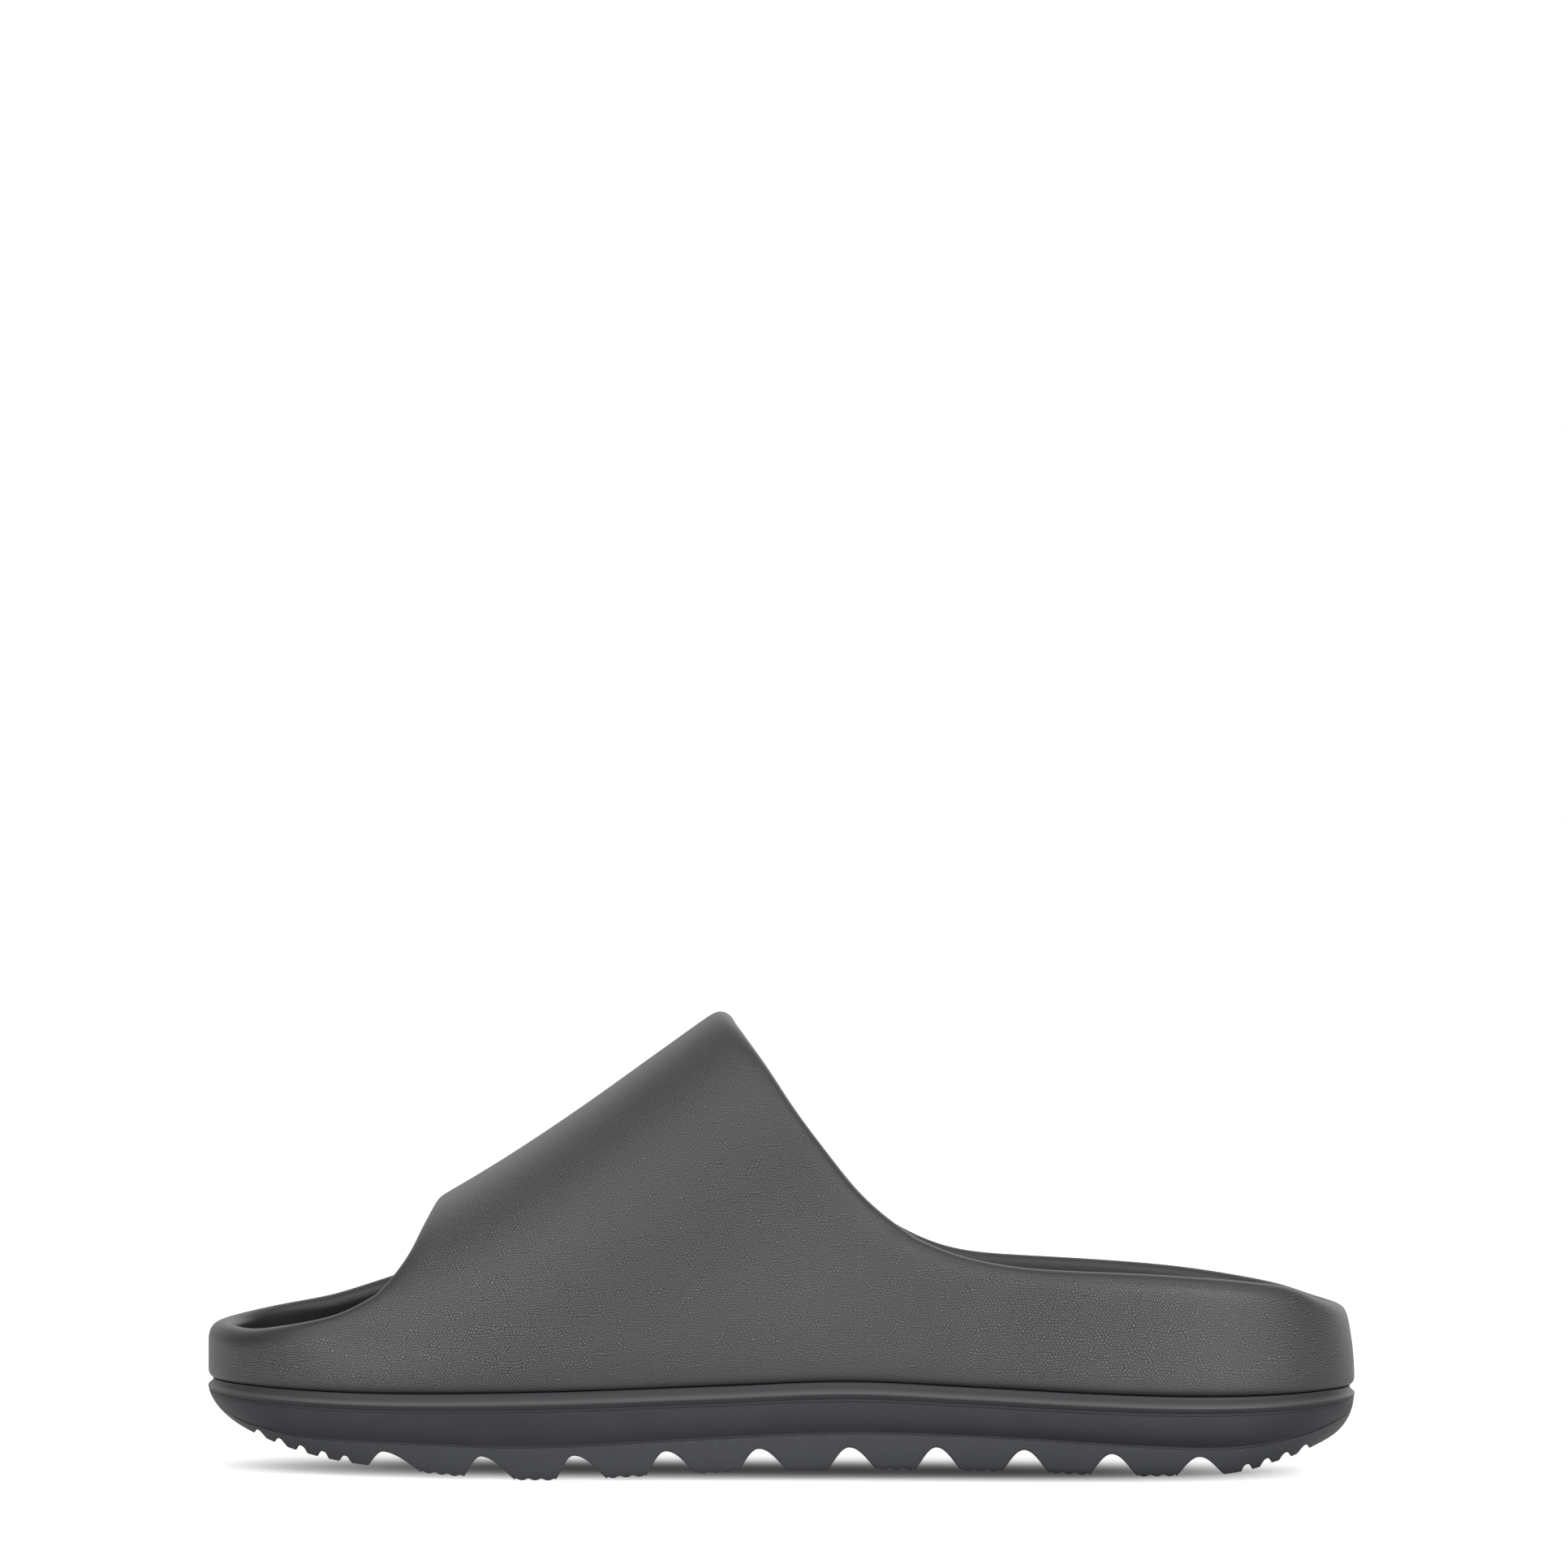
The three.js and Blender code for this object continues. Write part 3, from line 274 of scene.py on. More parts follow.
@dataclass(frozen=True)
class Last:
    """The form that every piece is worked out from, in millimetres.

    Attributes:
        length: Toe tip to heel tip.
        ball_width: The width that the outline's shares refer to.
        parting_rise: The groove's height at its highest.
        rim_rise: The height above the groove that the rims' shares refer to.
        crest_rise: The height above the groove that the ridge's shares refer to.
        arch_start: How far above the groove the wall is upright.
        wall: The wall's thickness.
        edge_round: Radius of the free edges, on the outside.
        heel_lean: How far the heel's rim leans in.
        lean_power: The power of the height by which it leans.
        crest_shift: How far the ridge stands towards the inner side.
        fit_gap: The gap round the footbed.
        seam: The gap between the other pieces.
        groove_depth: How far the groove stands in.
        groove_round: Height over which the upper rounds into the groove.
        cove_height: The cove's height at the sides.
        cove_height_tip: The cove's height at the tips.
        band_inset: How far the band stands in from the lip.
        band_undercut: How much further its bottom stands in at the sides.
        tread_step: How much further the tread layer stands in at the sides.
        hull_side: How far the sole draws in below the crease at the sides.
        hull_toe: How far it does at the toe tip.
        hull_heel: How far it does at the heel tip.
        hull_power_side: The power of that superellipse at the sides.
        hull_power_toe: Its power at the toe tip.
        hull_power_heel: Its power at the heel tip.
        fade_front: Share of the way from toe to strap at which the wall starts to follow the arch.
        fade_back: Share of the length behind the strap over which it stops doing so.
        hair: The scale that keeps the shoe inside the solids' box.
        toe_spring: The height above the floor that the tread's shares refer to.
        arch_width_power: The power of the strap's section.
    """

    length: float
    ball_width: float
    parting_rise: float = 24.9
    rim_rise: float = 30.4
    crest_rise: float = 95.2
    arch_start: float = 4.0
    wall: float = 7.0
    edge_round: float = 4.0
    heel_lean: float = 2.9
    lean_power: float = 2.2
    crest_shift: float = 4.0
    fit_gap: float = 0.3
    seam: float = 0.04
    groove_depth: float = 1.3
    groove_round: float = 1.8
    cove_height: float = 4.3
    cove_height_tip: float = 3.0
    band_inset: float = 0.3
    band_undercut: float = 1.5
    tread_step: float = 0.9
    hull_side: float = 1.2
    hull_toe: float = 9.0
    hull_heel: float = 10.6
    hull_power_side: float = 2.0
    hull_power_toe: float = 1.5
    hull_power_heel: float = 1.9
    fade_front: float = 0.3
    fade_back: float = 0.13
    hair: float = 0.9998
    toe_spring: float = 10.4
    arch_width_power: float = 2.15

    @classmethod
    def from_box(cls, low: Sequence[float], high: Sequence[float]) -> Last:
        """Sizes the last by the shoe's box.

        Args:
            low: The box's lowest corner in metres.
            high: The box's highest corner in metres.

        Returns:
            The last whose outline fills the box, less a hair.
        """
        share = outline_share(np.linspace(0, 2 * math.pi, ROUND_SAMPLES), 0)
        width = (high[1] - low[1]) / MM / (share.max() - share.min())
        return cls(length=(high[0] - low[0]) / MM * cls.hair, ball_width=width * cls.hair)

    def x_of(self, at: Array | float) -> Array:
        """Returns the place along the shoe of a share of its length."""
        return (at - 0.5) * self.length

    def at_of(self, x: Array | float) -> Array:
        """Returns the share of the length at a place along the shoe."""
        return x / self.length + 0.5

    def outline(self, turn: Array) -> Places:
        """Places on the lip's outline.

        The outline is x = -L/2 cos(turn) and y = the ball width times a closed cubic B-spline over the table.

        Args:
            turn: Angles round the shoe, 0 at the toe tip and pi at the heel tip.

        Returns:
            The places at those angles.
        """
        x = -self.length / 2 * np.cos(turn)
        y = self.ball_width * outline_share(turn, 0)
        along_x = self.length / 2 * np.sin(turn)
        along_y = self.ball_width * outline_share(turn, 1)
        size = np.hypot(along_x, along_y)
        return Places(x, y, along_y / size, -along_x / size, (1 - np.cos(turn)) / 2, turn <= math.pi)

    def groove(self, at: Array) -> Array:
        """Returns the height of the groove between sole and upper."""
        return self.parting_rise * GROOVE.curve("rise")(at)

    def foot(self, at: Array) -> Array:
        """Returns the height up to which the side wall is upright."""
        return self.groove(at) + self.arch_start

    def crest(self, at: Array) -> Array:
        """Returns the height of the strap's ridge line."""
        return self.groove(at) + self.crest_rise * CREST.curve("rise")(at)

    def climb_to(self, at: Array, climb: Array) -> Array:
        """Returns the height at a share of the way from the wall's foot to the ridge."""
        return blend(self.foot(at), self.crest(at), climb)

    def tread(self, at: Array) -> Array:
        """Returns the height of the lugs' ends above the floor."""
        height = np.maximum(0, self.toe_spring * TREAD.curve("rise")(at))
        for low, high in FLAT_STRETCHES:
            height = np.where((at >= low) & (at <= high), 0, height)
        return height

    def rim(self, side: Side, toe: bool) -> Curve:
        """The rim's height above the groove on one side.

        Args:
            side: Which long side.
            toe: True for the stretch in front of the strap, False for the one behind it.

        Returns:
            The smooth line of that height, which ends at the strap's corner.
        """
        table, strap = (TOE_RIM, STRAP_FRONT) if toe else (HEEL_RIM, STRAP_BACK)
        corner = strap[side.value][0]
        rise = self.climb_to(corner, strap["climb"][0]) - self.groove(corner)
        at = [*table["at"], corner] if toe else [corner, *table["at"]]
        rises = self.rim_rise * table[side.value]
        return Curve(at, [*rises, rise] if toe else [rise, *rises])

    def arch_width(self, climb: Array) -> Array:
        """Returns the share of the half width left at a climb: a superellipse (1 - c^2)^(1/p)."""
        return np.maximum(0, 1 - climb**2) ** (1 / self.arch_width_power)

    def wall_points(self, turn: Array, height: Array) -> Array:
        """Points on the upper's outer face beside the foot.

        Under the strap the wall follows the arch's section. In front and behind it stands upright, and at the
        heel tip it leans in by a power of its height.

        Args:
            turn: Angles round the shoe.
            height: Heights above the floor, of the same shape or one that broadcasts.

        Returns:
            The points, as (..., 3).
        """
        line = self.outline(turn)
        front = np.where(line.outer, STRAP_FRONT["outer"][0], STRAP_FRONT["inner"][0])
        back = np.where(line.outer, STRAP_BACK["outer"][0], STRAP_BACK["inner"][0])
        under = smooth(line.at, self.fade_front * front, front)
        under = under * (1 - smooth(line.at, back, back + self.fade_back))
        foot = self.foot(line.at)
        climb = np.clip((height - foot) / (self.crest(line.at) - foot), 0, 1)
        arch = np.abs(line.y - self.crest_shift) * (1 - self.arch_width(climb))
        rim = np.where(
            line.outer, self.rim(Side.OUTER, False)(line.at), self.rim(Side.INNER, False)(line.at)
        )
        risen = np.maximum(0, height - self.groove(line.at)) / rim
        lean = self.heel_lean * np.maximum(0, line.out_x) ** 2 * risen**self.lean_power
        inset = blend(lean, arch, under)
        towards_x = blend(line.out_x, 0, under)
        towards_y = blend(line.out_y, np.where(line.y > 0, 1.0, -1.0), under)
        size = np.hypot(towards_x, towards_y)
        x, y, z = np.broadcast_arrays(
            line.x - towards_x / size * inset, line.y - towards_y / size * inset, height
        )
        return np.stack([x, y, z], axis=-1)

    def inside_wall(self, turn: Array, height: Array, thickness: float) -> Array:
        """Points inside the wall at the same height, one thickness in, square to its outer face.

        Args:
            turn: Angles round the shoe.
            height: Heights above the floor.
            thickness: How far in, square to the face.

        Returns:
            The points, as (..., 3).
        """
        step = 0.01
        point = self.wall_points(turn, height)
        along = self.wall_points(turn + step / self.length, height) - point
        rise = self.wall_points(turn, height + step) - point
        out = np.cross(along, rise)
        out /= np.linalg.norm(out, axis=-1, keepdims=True)
        level = out[..., 0] ** 2 + out[..., 1] ** 2
        point[..., 0] -= out[..., 0] * thickness / level
        point[..., 1] -= out[..., 1] * thickness / level
        return point

    def cove(self, line: Places) -> Array:
        """Returns the height of the cove, which is lower at the tips."""
        return blend(self.cove_height, self.cove_height_tip, line.out_x**2)

    def crease(self, line: Places) -> Array:
        """Returns the height of the crease under the lip."""
        return self.groove(line.at) - self.cove(line)

    def hull(self, line: Places) -> Array:
        """Returns how far the sole's side draws in down to the tread, wide at the tips."""
        at_tip = np.where(line.out_x < 0, self.hull_toe, self.hull_heel)
        return blend(self.hull_side, at_tip, line.out_x**2)

    def drawn(self, line: Places, down: Array) -> Array:
        """How far the sole's side draws in below the crease.

        It is a superellipse quarter: draw times 1 - (1 - d^p)^(1/p), wide at the tips and narrow at the sides.

        Args:
            line: Places on the outline.
            down: Share of the way from the crease to the tread.

        Returns:
            The inset in millimetres.
        """
        at_tip = np.where(line.out_x < 0, self.hull_power_toe, self.hull_power_heel)
        power = blend(self.hull_power_side, at_tip, line.out_x**2)
        return self.hull(line) * (1 - np.maximum(0, 1 - np.clip(down, 0, 1) ** power) ** (1 / power))

    def lug_line(self, line: Places) -> Array:
        """Returns the height where the sole's side meets the tread's envelope."""
        reach = self.band_inset + self.hull(line) + self.tread_step * (1 - line.out_x**2)
        return self.tread(self.at_of(line.x - line.out_x * reach))

    def parting(self, line: Places) -> Array:
        """Returns how far down from the crease the band ends, as a share of the way to the tread."""
        return 1 - TREAD_TOP.curve("share")(line.at)


def outline_share(turn: Array, derivative: int) -> Array:
    """The outline's distance from the middle line.

    A closed even cubic B-spline over the table's points, down the outer side and back up the inner one.

    Args:
        turn: Angles round the shoe.
        derivative: 0 for the distance, 1 for its slope by the angle.

    Returns:
        Shares of the ball width.
    """
    points = np.concatenate([OUTLINE["outer"][:-1], OUTLINE["inner"][:0:-1]])
    count = len(points)
    place = np.asarray(turn, float) / (2 * math.pi) * count
    first = np.floor(place).astype(int)
    t = place - first
    if derivative:
        weights = [-((1 - t) ** 2) / 2, (3 * t**2 - 4 * t) / 2, (1 + 2 * t - 3 * t**2) / 2, t**2 / 2]
    else:
        weights = [(1 - t) ** 3 / 6, (3 * t**3 - 6 * t**2 + 4) / 6, (1 + 3 * t + 3 * t**2 - 3 * t**3) / 6,
                   t**3 / 6]
    total = sum(weight * points[(first - 1 + i) % count] for i, weight in enumerate(weights))
    return total * count / (2 * math.pi) if derivative else total


def grid_quads(index: Array, closed: bool = False) -> Array:
    """Faces between the neighbours of a grid of point numbers.

    Args:
        index: Point numbers, rows by columns.
        closed: True where the last row meets the first.

    Returns:
        Quads of point numbers, as (n, 4).
    """
    following = np.roll(index, -1, axis=0) if closed else index[1:]
    here = index if closed else index[:-1]
    corners = [here[:, :-1], following[:, :-1], following[:, 1:], here[:, 1:]]
    return np.stack(corners, axis=-1).reshape(-1, 4)


def ring_turns(half: Array) -> Array:
    """Returns the turns of a whole round from those of one side, tip to tip."""
    return np.concatenate([half, 2 * math.pi - half[-2:0:-1]])


def make_piece(name: str, points: Array, quads: Array, values: dict[str, Array], uv: Array | None = None
               ) -> bpy.types.Object:
    """Makes a mesh object whose faces point outwards.

    Args:
        name: The piece's name.
        points: Points in millimetres, as (n, 3).
        quads: Faces as point numbers, as (m, 4). Two equal neighbours in a row make it a triangle.
        values: Values by point that its material reads, by name.
        uv: The UV map in metres at each face's corners, as (m, 4, 2), or None.

    Returns:
        The object, linked to the scene, with its place in its mesh.
    """
    uv = np.zeros((len(quads), 4, 2)) if uv is None else uv
    doubled = quads == np.roll(quads, -1, axis=1)
    whole = doubled.sum(axis=1) < 2
    quads, uv, doubled = quads[whole], uv[whole], doubled[whole]
    thin = doubled.any(axis=1)
    triangles = quads[thin][~doubled[thin]].reshape(-1, 3)
    triangle_uv = uv[thin][~doubled[thin]].reshape(-1, 3, 2)
    quads, quad_uv = quads[~thin], uv[~thin]
    fans = np.concatenate([quads[:, :3], quads[:, [0, 2, 3]], triangles])
    a, b, c = (points[fans[:, i]] for i in range(3))
    if np.einsum("ij,ij->i", a, np.cross(b, c)).sum() < 0:
        quads, quad_uv = quads[:, ::-1], quad_uv[:, ::-1]
        triangles, triangle_uv = triangles[:, ::-1], triangle_uv[:, ::-1]
    loops = np.concatenate([quads.ravel(), triangles.ravel()])
    used, loops = np.unique(loops, return_inverse=True)
    starts = np.concatenate([
        np.arange(len(quads)) * 4, len(quads) * 4 + np.arange(len(triangles)) * 3,
    ])
    mesh = bpy.data.meshes.new(name)
    mesh.vertices.add(len(used))
    mesh.vertices.foreach_set("co", (points[used] * MM).astype(np.float32).ravel())
    mesh.loops.add(len(loops))
    mesh.loops.foreach_set("vertex_index", loops.astype(np.int32).ravel())
    mesh.polygons.add(len(starts))
    mesh.polygons.foreach_set("loop_start", starts.astype(np.int32))
    mesh.update(calc_edges=True)
    for key, value in values.items():
        mesh.attributes.new(key, "FLOAT", "POINT").data.foreach_set("value", value[used].astype(np.float32))
    layer = mesh.uv_layers.new(name="surface")
    corners = np.concatenate([quad_uv.reshape(-1, 2), triangle_uv.reshape(-1, 2)])
    layer.uv.foreach_set("vector", corners.astype(np.float32).ravel())
    mesh.validate()
    mesh.shade_smooth()
    obj = bpy.data.objects.new(name, mesh)
    bpy.context.scene.collection.objects.link(obj)
    return obj


class Wire:
    """A shader socket that arithmetic works on. Each operation adds a Math node."""

    def __init__(self, sheet: Sheet, socket: bpy.types.NodeSocket) -> None:
        """Keeps the sheet of nodes and the socket."""
        self.sheet = sheet
        self.socket = socket

    def math(self, operation: str, *others: Wire | float, swap: bool = False) -> Wire:
        """Adds a Math node.

        Args:
            operation: The node's operation.
            *others: The other values.
            swap: True where this wire is the second value.

        Returns:
            The node's result.
        """
        values = [self, *others][::-1] if swap else [self, *others]
        return self.sheet.node("ShaderNodeMath", {"operation": operation}, dict(enumerate(values)))

    def __add__(self, other: Wire | float) -> Wire:
        """Returns the sum."""
        return self.math("ADD", other)

    def __sub__(self, other: Wire | float) -> Wire:
        """Returns the difference."""
        return self.math("SUBTRACT", other)

    def __rsub__(self, other: float) -> Wire:
        """Returns a number less this."""
        return self.math("SUBTRACT", other, swap=True)

    def __mul__(self, other: Wire | float) -> Wire:
        """Returns the product."""
        return self.math("MULTIPLY", other)

    def __truediv__(self, other: Wire | float) -> Wire:
        """Returns the quotient."""
        return self.math("DIVIDE", other)

    def __rtruediv__(self, other: float) -> Wire:
        """Returns a number divided by this."""
        return self.math("DIVIDE", other, swap=True)

    __radd__ = __add__
    __rmul__ = __mul__

    def between(self, low: float, high: float) -> Wire:
        """Returns 0 below low and 1 above high, smooth between them."""
        return self.sheet.node(
            "ShaderNodeMapRange", {"interpolation_type": "SMOOTHSTEP"},
            {"Value": self, "From Min": low, "From Max": high},
        )

    def spread(self, low: float, high: float) -> Wire:
        """Returns low where this is 0 and high where it is 1, in proportion."""
        return self * (high - low) + low

    def ripple(self, pitch: float) -> Wire:
        """Returns a sine wave from 0 to 1 over this, with a pitch."""
        return (self * (2 * math.pi / pitch)).math("SINE") * 0.5 + 0.5


class Sheet:
    """A tree of shader nodes that is written as expressions."""

    def __init__(self, tree: bpy.types.NodeTree) -> None:
        """Keeps the tree and empties it."""
        self.tree = tree
        tree.nodes.clear()

    def set(self, socket: bpy.types.NodeSocket, value: Any) -> None:
        """Links a wire to a socket, or writes a value on it."""
        if isinstance(value, Wire):
            self.tree.links.new(value.socket, socket)
        else:
            socket.default_value = value

    def node(self, kind: str, settings: dict[str, Any] | None = None,
             inputs: dict[str | int, Any] | None = None, output: str | int = 0) -> Wire:
        """Adds any node.

        Args:
            kind: The node's type.
            settings: Its settings, set first. Stops are a ramp's (place, grey level) pairs.
            inputs: Values or wires of its sockets, by name or number.
            output: Which result to give.

        Returns:
            The node's result.
        """
        node = self.tree.nodes.new(kind)
        settings = dict(settings or {})
        stops = settings.pop("stops", None)
        for key, value in settings.items():
            setattr(node, key, value)
        if stops:
            while len(node.color_ramp.elements) < len(stops):
                node.color_ramp.elements.new(1.0)
            for element, (place, level) in zip(node.color_ramp.elements, stops):
                element.position = place
                element.color = (level, level, level, 1.0)
        for key, value in (inputs or {}).items():
            self.set(node.inputs[key], value)
        return Wire(self, node.outputs[output])

    def coordinates(self) -> Wire:
        """Returns the surface point in the shoe's own frame, in metres."""
        return self.node("ShaderNodeTexCoord", output="Object")

    def value(self, name: str) -> Wire:
        """Returns a value that the mesh carries by that name."""
        return self.node("ShaderNodeAttribute", {"attribute_name": name}, output="Fac")

    def noise(self, vector: Wire, size: float, detail: float = 2.0) -> Wire:
        """Returns soft noise from 0 to 1 with grains of a size in metres."""
        return self.node(
            "ShaderNodeTexNoise", None, {"Vector": vector, "Scale": 1 / size, "Detail": detail}
        )

    def shift(self, vector: Wire, size: float, amount: float) -> Wire:
        """Returns a place on the UV map pushed about by noise of a size, by an amount in metres."""
        push = self.node(
            "ShaderNodeTexNoise", {"noise_dimensions": "2D"},
            {"Vector": vector, "Scale": 1 / size, "Detail": 1.0}, "Color",
        )
        centred = self.node("ShaderNodeVectorMath", {"operation": "SUBTRACT"}, {0: push, 1: (0.5, 0.5, 0.5)})
        scaled = self.node("ShaderNodeVectorMath", {"operation": "SCALE"}, {0: centred, "Scale": amount})
        return self.node("ShaderNodeVectorMath", {"operation": "ADD"}, {0: vector, 1: scaled})

    def part(self, vector: Wire, axis: str) -> Wire:
        """Returns one part of a vector, X, Y or Z."""
        return self.node("ShaderNodeSeparateXYZ", None, {0: vector}, axis)

    def surface(self) -> Wire:
        """Returns the place on the piece's UV map, in metres."""
        return self.node("ShaderNodeUVMap", {"uv_map": "surface"})

    def mix(self, first: Any, second: Any, share: Wire) -> Wire:
        """Returns the colour at a share of the way from the first to the second."""
        return self.node("ShaderNodeMix", {"data_type": "RGBA"}, {0: share, 6: first, 7: second}, 2)

    def bump(self, height: Wire, distance: float) -> Wire:
        """Returns the normal bent by a height, where 1 stands up by a distance in metres."""
        return self.node("ShaderNodeBump", None, {"Height": height, "Distance": distance})


class Skin(Sheet):
    """The nodes of one material, with its Principled shader."""

    def __init__(self, name: str) -> None:
        """Makes the material and its shader.

        Args:
            name: The material's name.
        """
        self.material = bpy.data.materials.new(name)
        self.material.use_nodes = True
        super().__init__(self.material.node_tree)
        output = self.tree.nodes.new("ShaderNodeOutputMaterial")
        self.shader = self.tree.nodes.new("ShaderNodeBsdfPrincipled")
        self.tree.links.new(self.shader.outputs[0], output.inputs["Surface"])


@dataclass(frozen=True)
class Foam:
    """A finish of moulded foam.

    Attributes:
        name: The material's name.
        colour: Its colour, linear.
        pale: The colour of the raised grain. On the pebbled foams it is painted highlight.
        roughness: Roughness of the smooth skin.
        roughness_step: How much rougher the roughest places are.
        specular: Specular level.
        grain_depth: Height of the grain in metres.
        fine_size: Size of the finest unevenness in metres.
    """

    name: str
    colour: tuple[float, float, float]
    pale: tuple[float, float, float]
    roughness: float = 0.36
    roughness_step: float = 0.1
    specular: float = 0.5
    grain_depth: float = 0.00004
    fine_size: float = 0.0004

    def start(self) -> Skin:
        """Returns the material's sheet with its constant sockets set."""
        sheet = Skin(self.name)
        sheet.shader.inputs["Specular IOR Level"].default_value = self.specular
        return sheet

    def material(self) -> bpy.types.Material:
        """Returns the material. Each kind of foam has its own nodes."""
        raise NotImplementedError

    def finish(self, sheet: Skin, colour: Wire, normal: Wire, rough: Wire) -> bpy.types.Material:
        """Sets the shader's varying sockets.

        Args:
            sheet: The material's sheet.
            colour: The surface colour.
            normal: The bent normal.
            rough: How much rougher than the skin the surface is, in roughness steps.

        Returns:
            The material.
        """
        sheet.set(sheet.shader.inputs["Base Color"], colour)
        sheet.set(sheet.shader.inputs["Normal"], normal)
        sheet.set(sheet.shader.inputs["Roughness"], rough * self.roughness_step + self.roughness)
        return sheet.material


@dataclass(frozen=True)
class GrainedFoam(Foam):
    """Foam with a fine pebbled grain, as strong as the mesh's value named grain says.

    The pebbles are close together, as pale dots: their paleness is painted highlight on the raised tops,
    beside their bump. Half way along the shoe they run together into short rows along its length, and are
    lower, so that the grain is paler towards the toe and the heel, which is partly painted highlight too.

    Attributes:
        grain_size: The pebbles' pitch in metres.
        pebble_levels: The levels of the waves at a pebble's foot and at its top.
        bends: Noises that push the pebbles out of line, one after the other, as (size, reach) in pitches.
        patch_size: Size in metres of the broad patches in which the grain varies.
        patch_reach: How far the patches shift the zones, as a share of the length.
        length: The length in metres that the zones are shares of.
        zones: How full the pebbles are, as (share of the length, fullness) pairs. Their fullness near the toe
            and the heel is partly painted highlight.
        rows: How much the pebbles run together where they are least full and where they are full.
        heights: How high they are, at the same places.
        tone_shares: How much the pebbles, the patches and the fine unevenness add to the paleness. The pebbles'
            part is painted highlight.
        fine_height: Height of the fine unevenness, as a share of the grain's.
        grain_roughness: How much rougher the grain is than the skin, in roughness steps.
    """

    grain_size: float = 0.00073
    pebble_levels: tuple[float, float] = (-0.3, 2.3)
    bends: tuple[tuple[float, float], ...] = ((6.0, 2.2), (1.7, 0.8))
    patch_size: float = 0.03
    patch_reach: float = 0.14
    length: float = 0.3
    zones: tuple[tuple[float, float], ...] = (
        (0.0, 0.7), (0.13, 1.0), (0.27, 0.7), (0.4, 0.2), (0.6, 0.2), (0.7, 0.6), (0.82, 1.0), (0.93, 0.8),
        (1.0, 0.3),
    )
    rows: tuple[float, float] = (0.55, 0.1)
    heights: tuple[float, float] = (0.4, 1.0)
    tone_shares: tuple[float, float, float] = (0.85, 0.06, 0.08)
    fine_height: float = 0.12
    grain_roughness: float = 0.3

    def pebbles(self, sheet: Skin, place: Wire, rows: Wire) -> Wire:
        """Returns close-packed dots, 1 in the middle and 0 between them.

        They are the crests of three cosine waves at 120 degrees to each other, in rows that lie the square root
        of 3/4 of a pitch apart. Where the waves across the rows are stronger, the dots run together along X.

        Args:
            sheet: The material's sheet.
            place: The place on the UV map.
            rows: How much the dots run together, from 0 to 1.

        Returns:
            The dots.
        """
        row_gap = math.sqrt(0.75)
        turn = 2 * math.pi / (self.grain_size * row_gap)
        along, up = (sheet.part(place, axis) * turn for axis in "XY")
        slant = along * row_gap
        sides = (slant - up * 0.5).math("COSINE") + (slant + up * 0.5).math("COSINE")
        level = up.math("COSINE") * (rows + 1) + sides * (1 - rows * 0.5)
        return level.between(*self.pebble_levels)

    def material(self) -> bpy.types.Material:
        """Returns the material."""
        sheet = self.start()
        point = sheet.coordinates()
        strength = sheet.value("grain")
        place = sheet.surface()
        for size, reach in self.bends:
            place = sheet.shift(place, size * self.grain_size, reach * self.grain_size)
        patch = sheet.noise(point, self.patch_size, 1.0)
        at = sheet.part(point, "X") / self.length + 0.5 + (patch - 0.5) * self.patch_reach
        zone = sheet.node("ShaderNodeValToRGB", {"stops": self.zones}, {0: at})
        dots = self.pebbles(sheet, place, zone.spread(*self.rows))
        grain = dots * strength * zone.spread(*self.heights)
        fine = sheet.noise(point, self.fine_size)
        # The pebbles' paleness is painted highlight on their raised tops.
        grain_highlight_tone, patch_tone, fine_tone = self.tone_shares
        tone = grain * grain_highlight_tone + patch * patch_tone + fine * fine_tone
        colour = sheet.mix((*self.colour, 1), (*self.pale, 1), tone)
        normal = sheet.bump(grain + fine * self.fine_height, self.grain_depth)
        return self.finish(sheet, colour, normal, strength * self.grain_roughness)


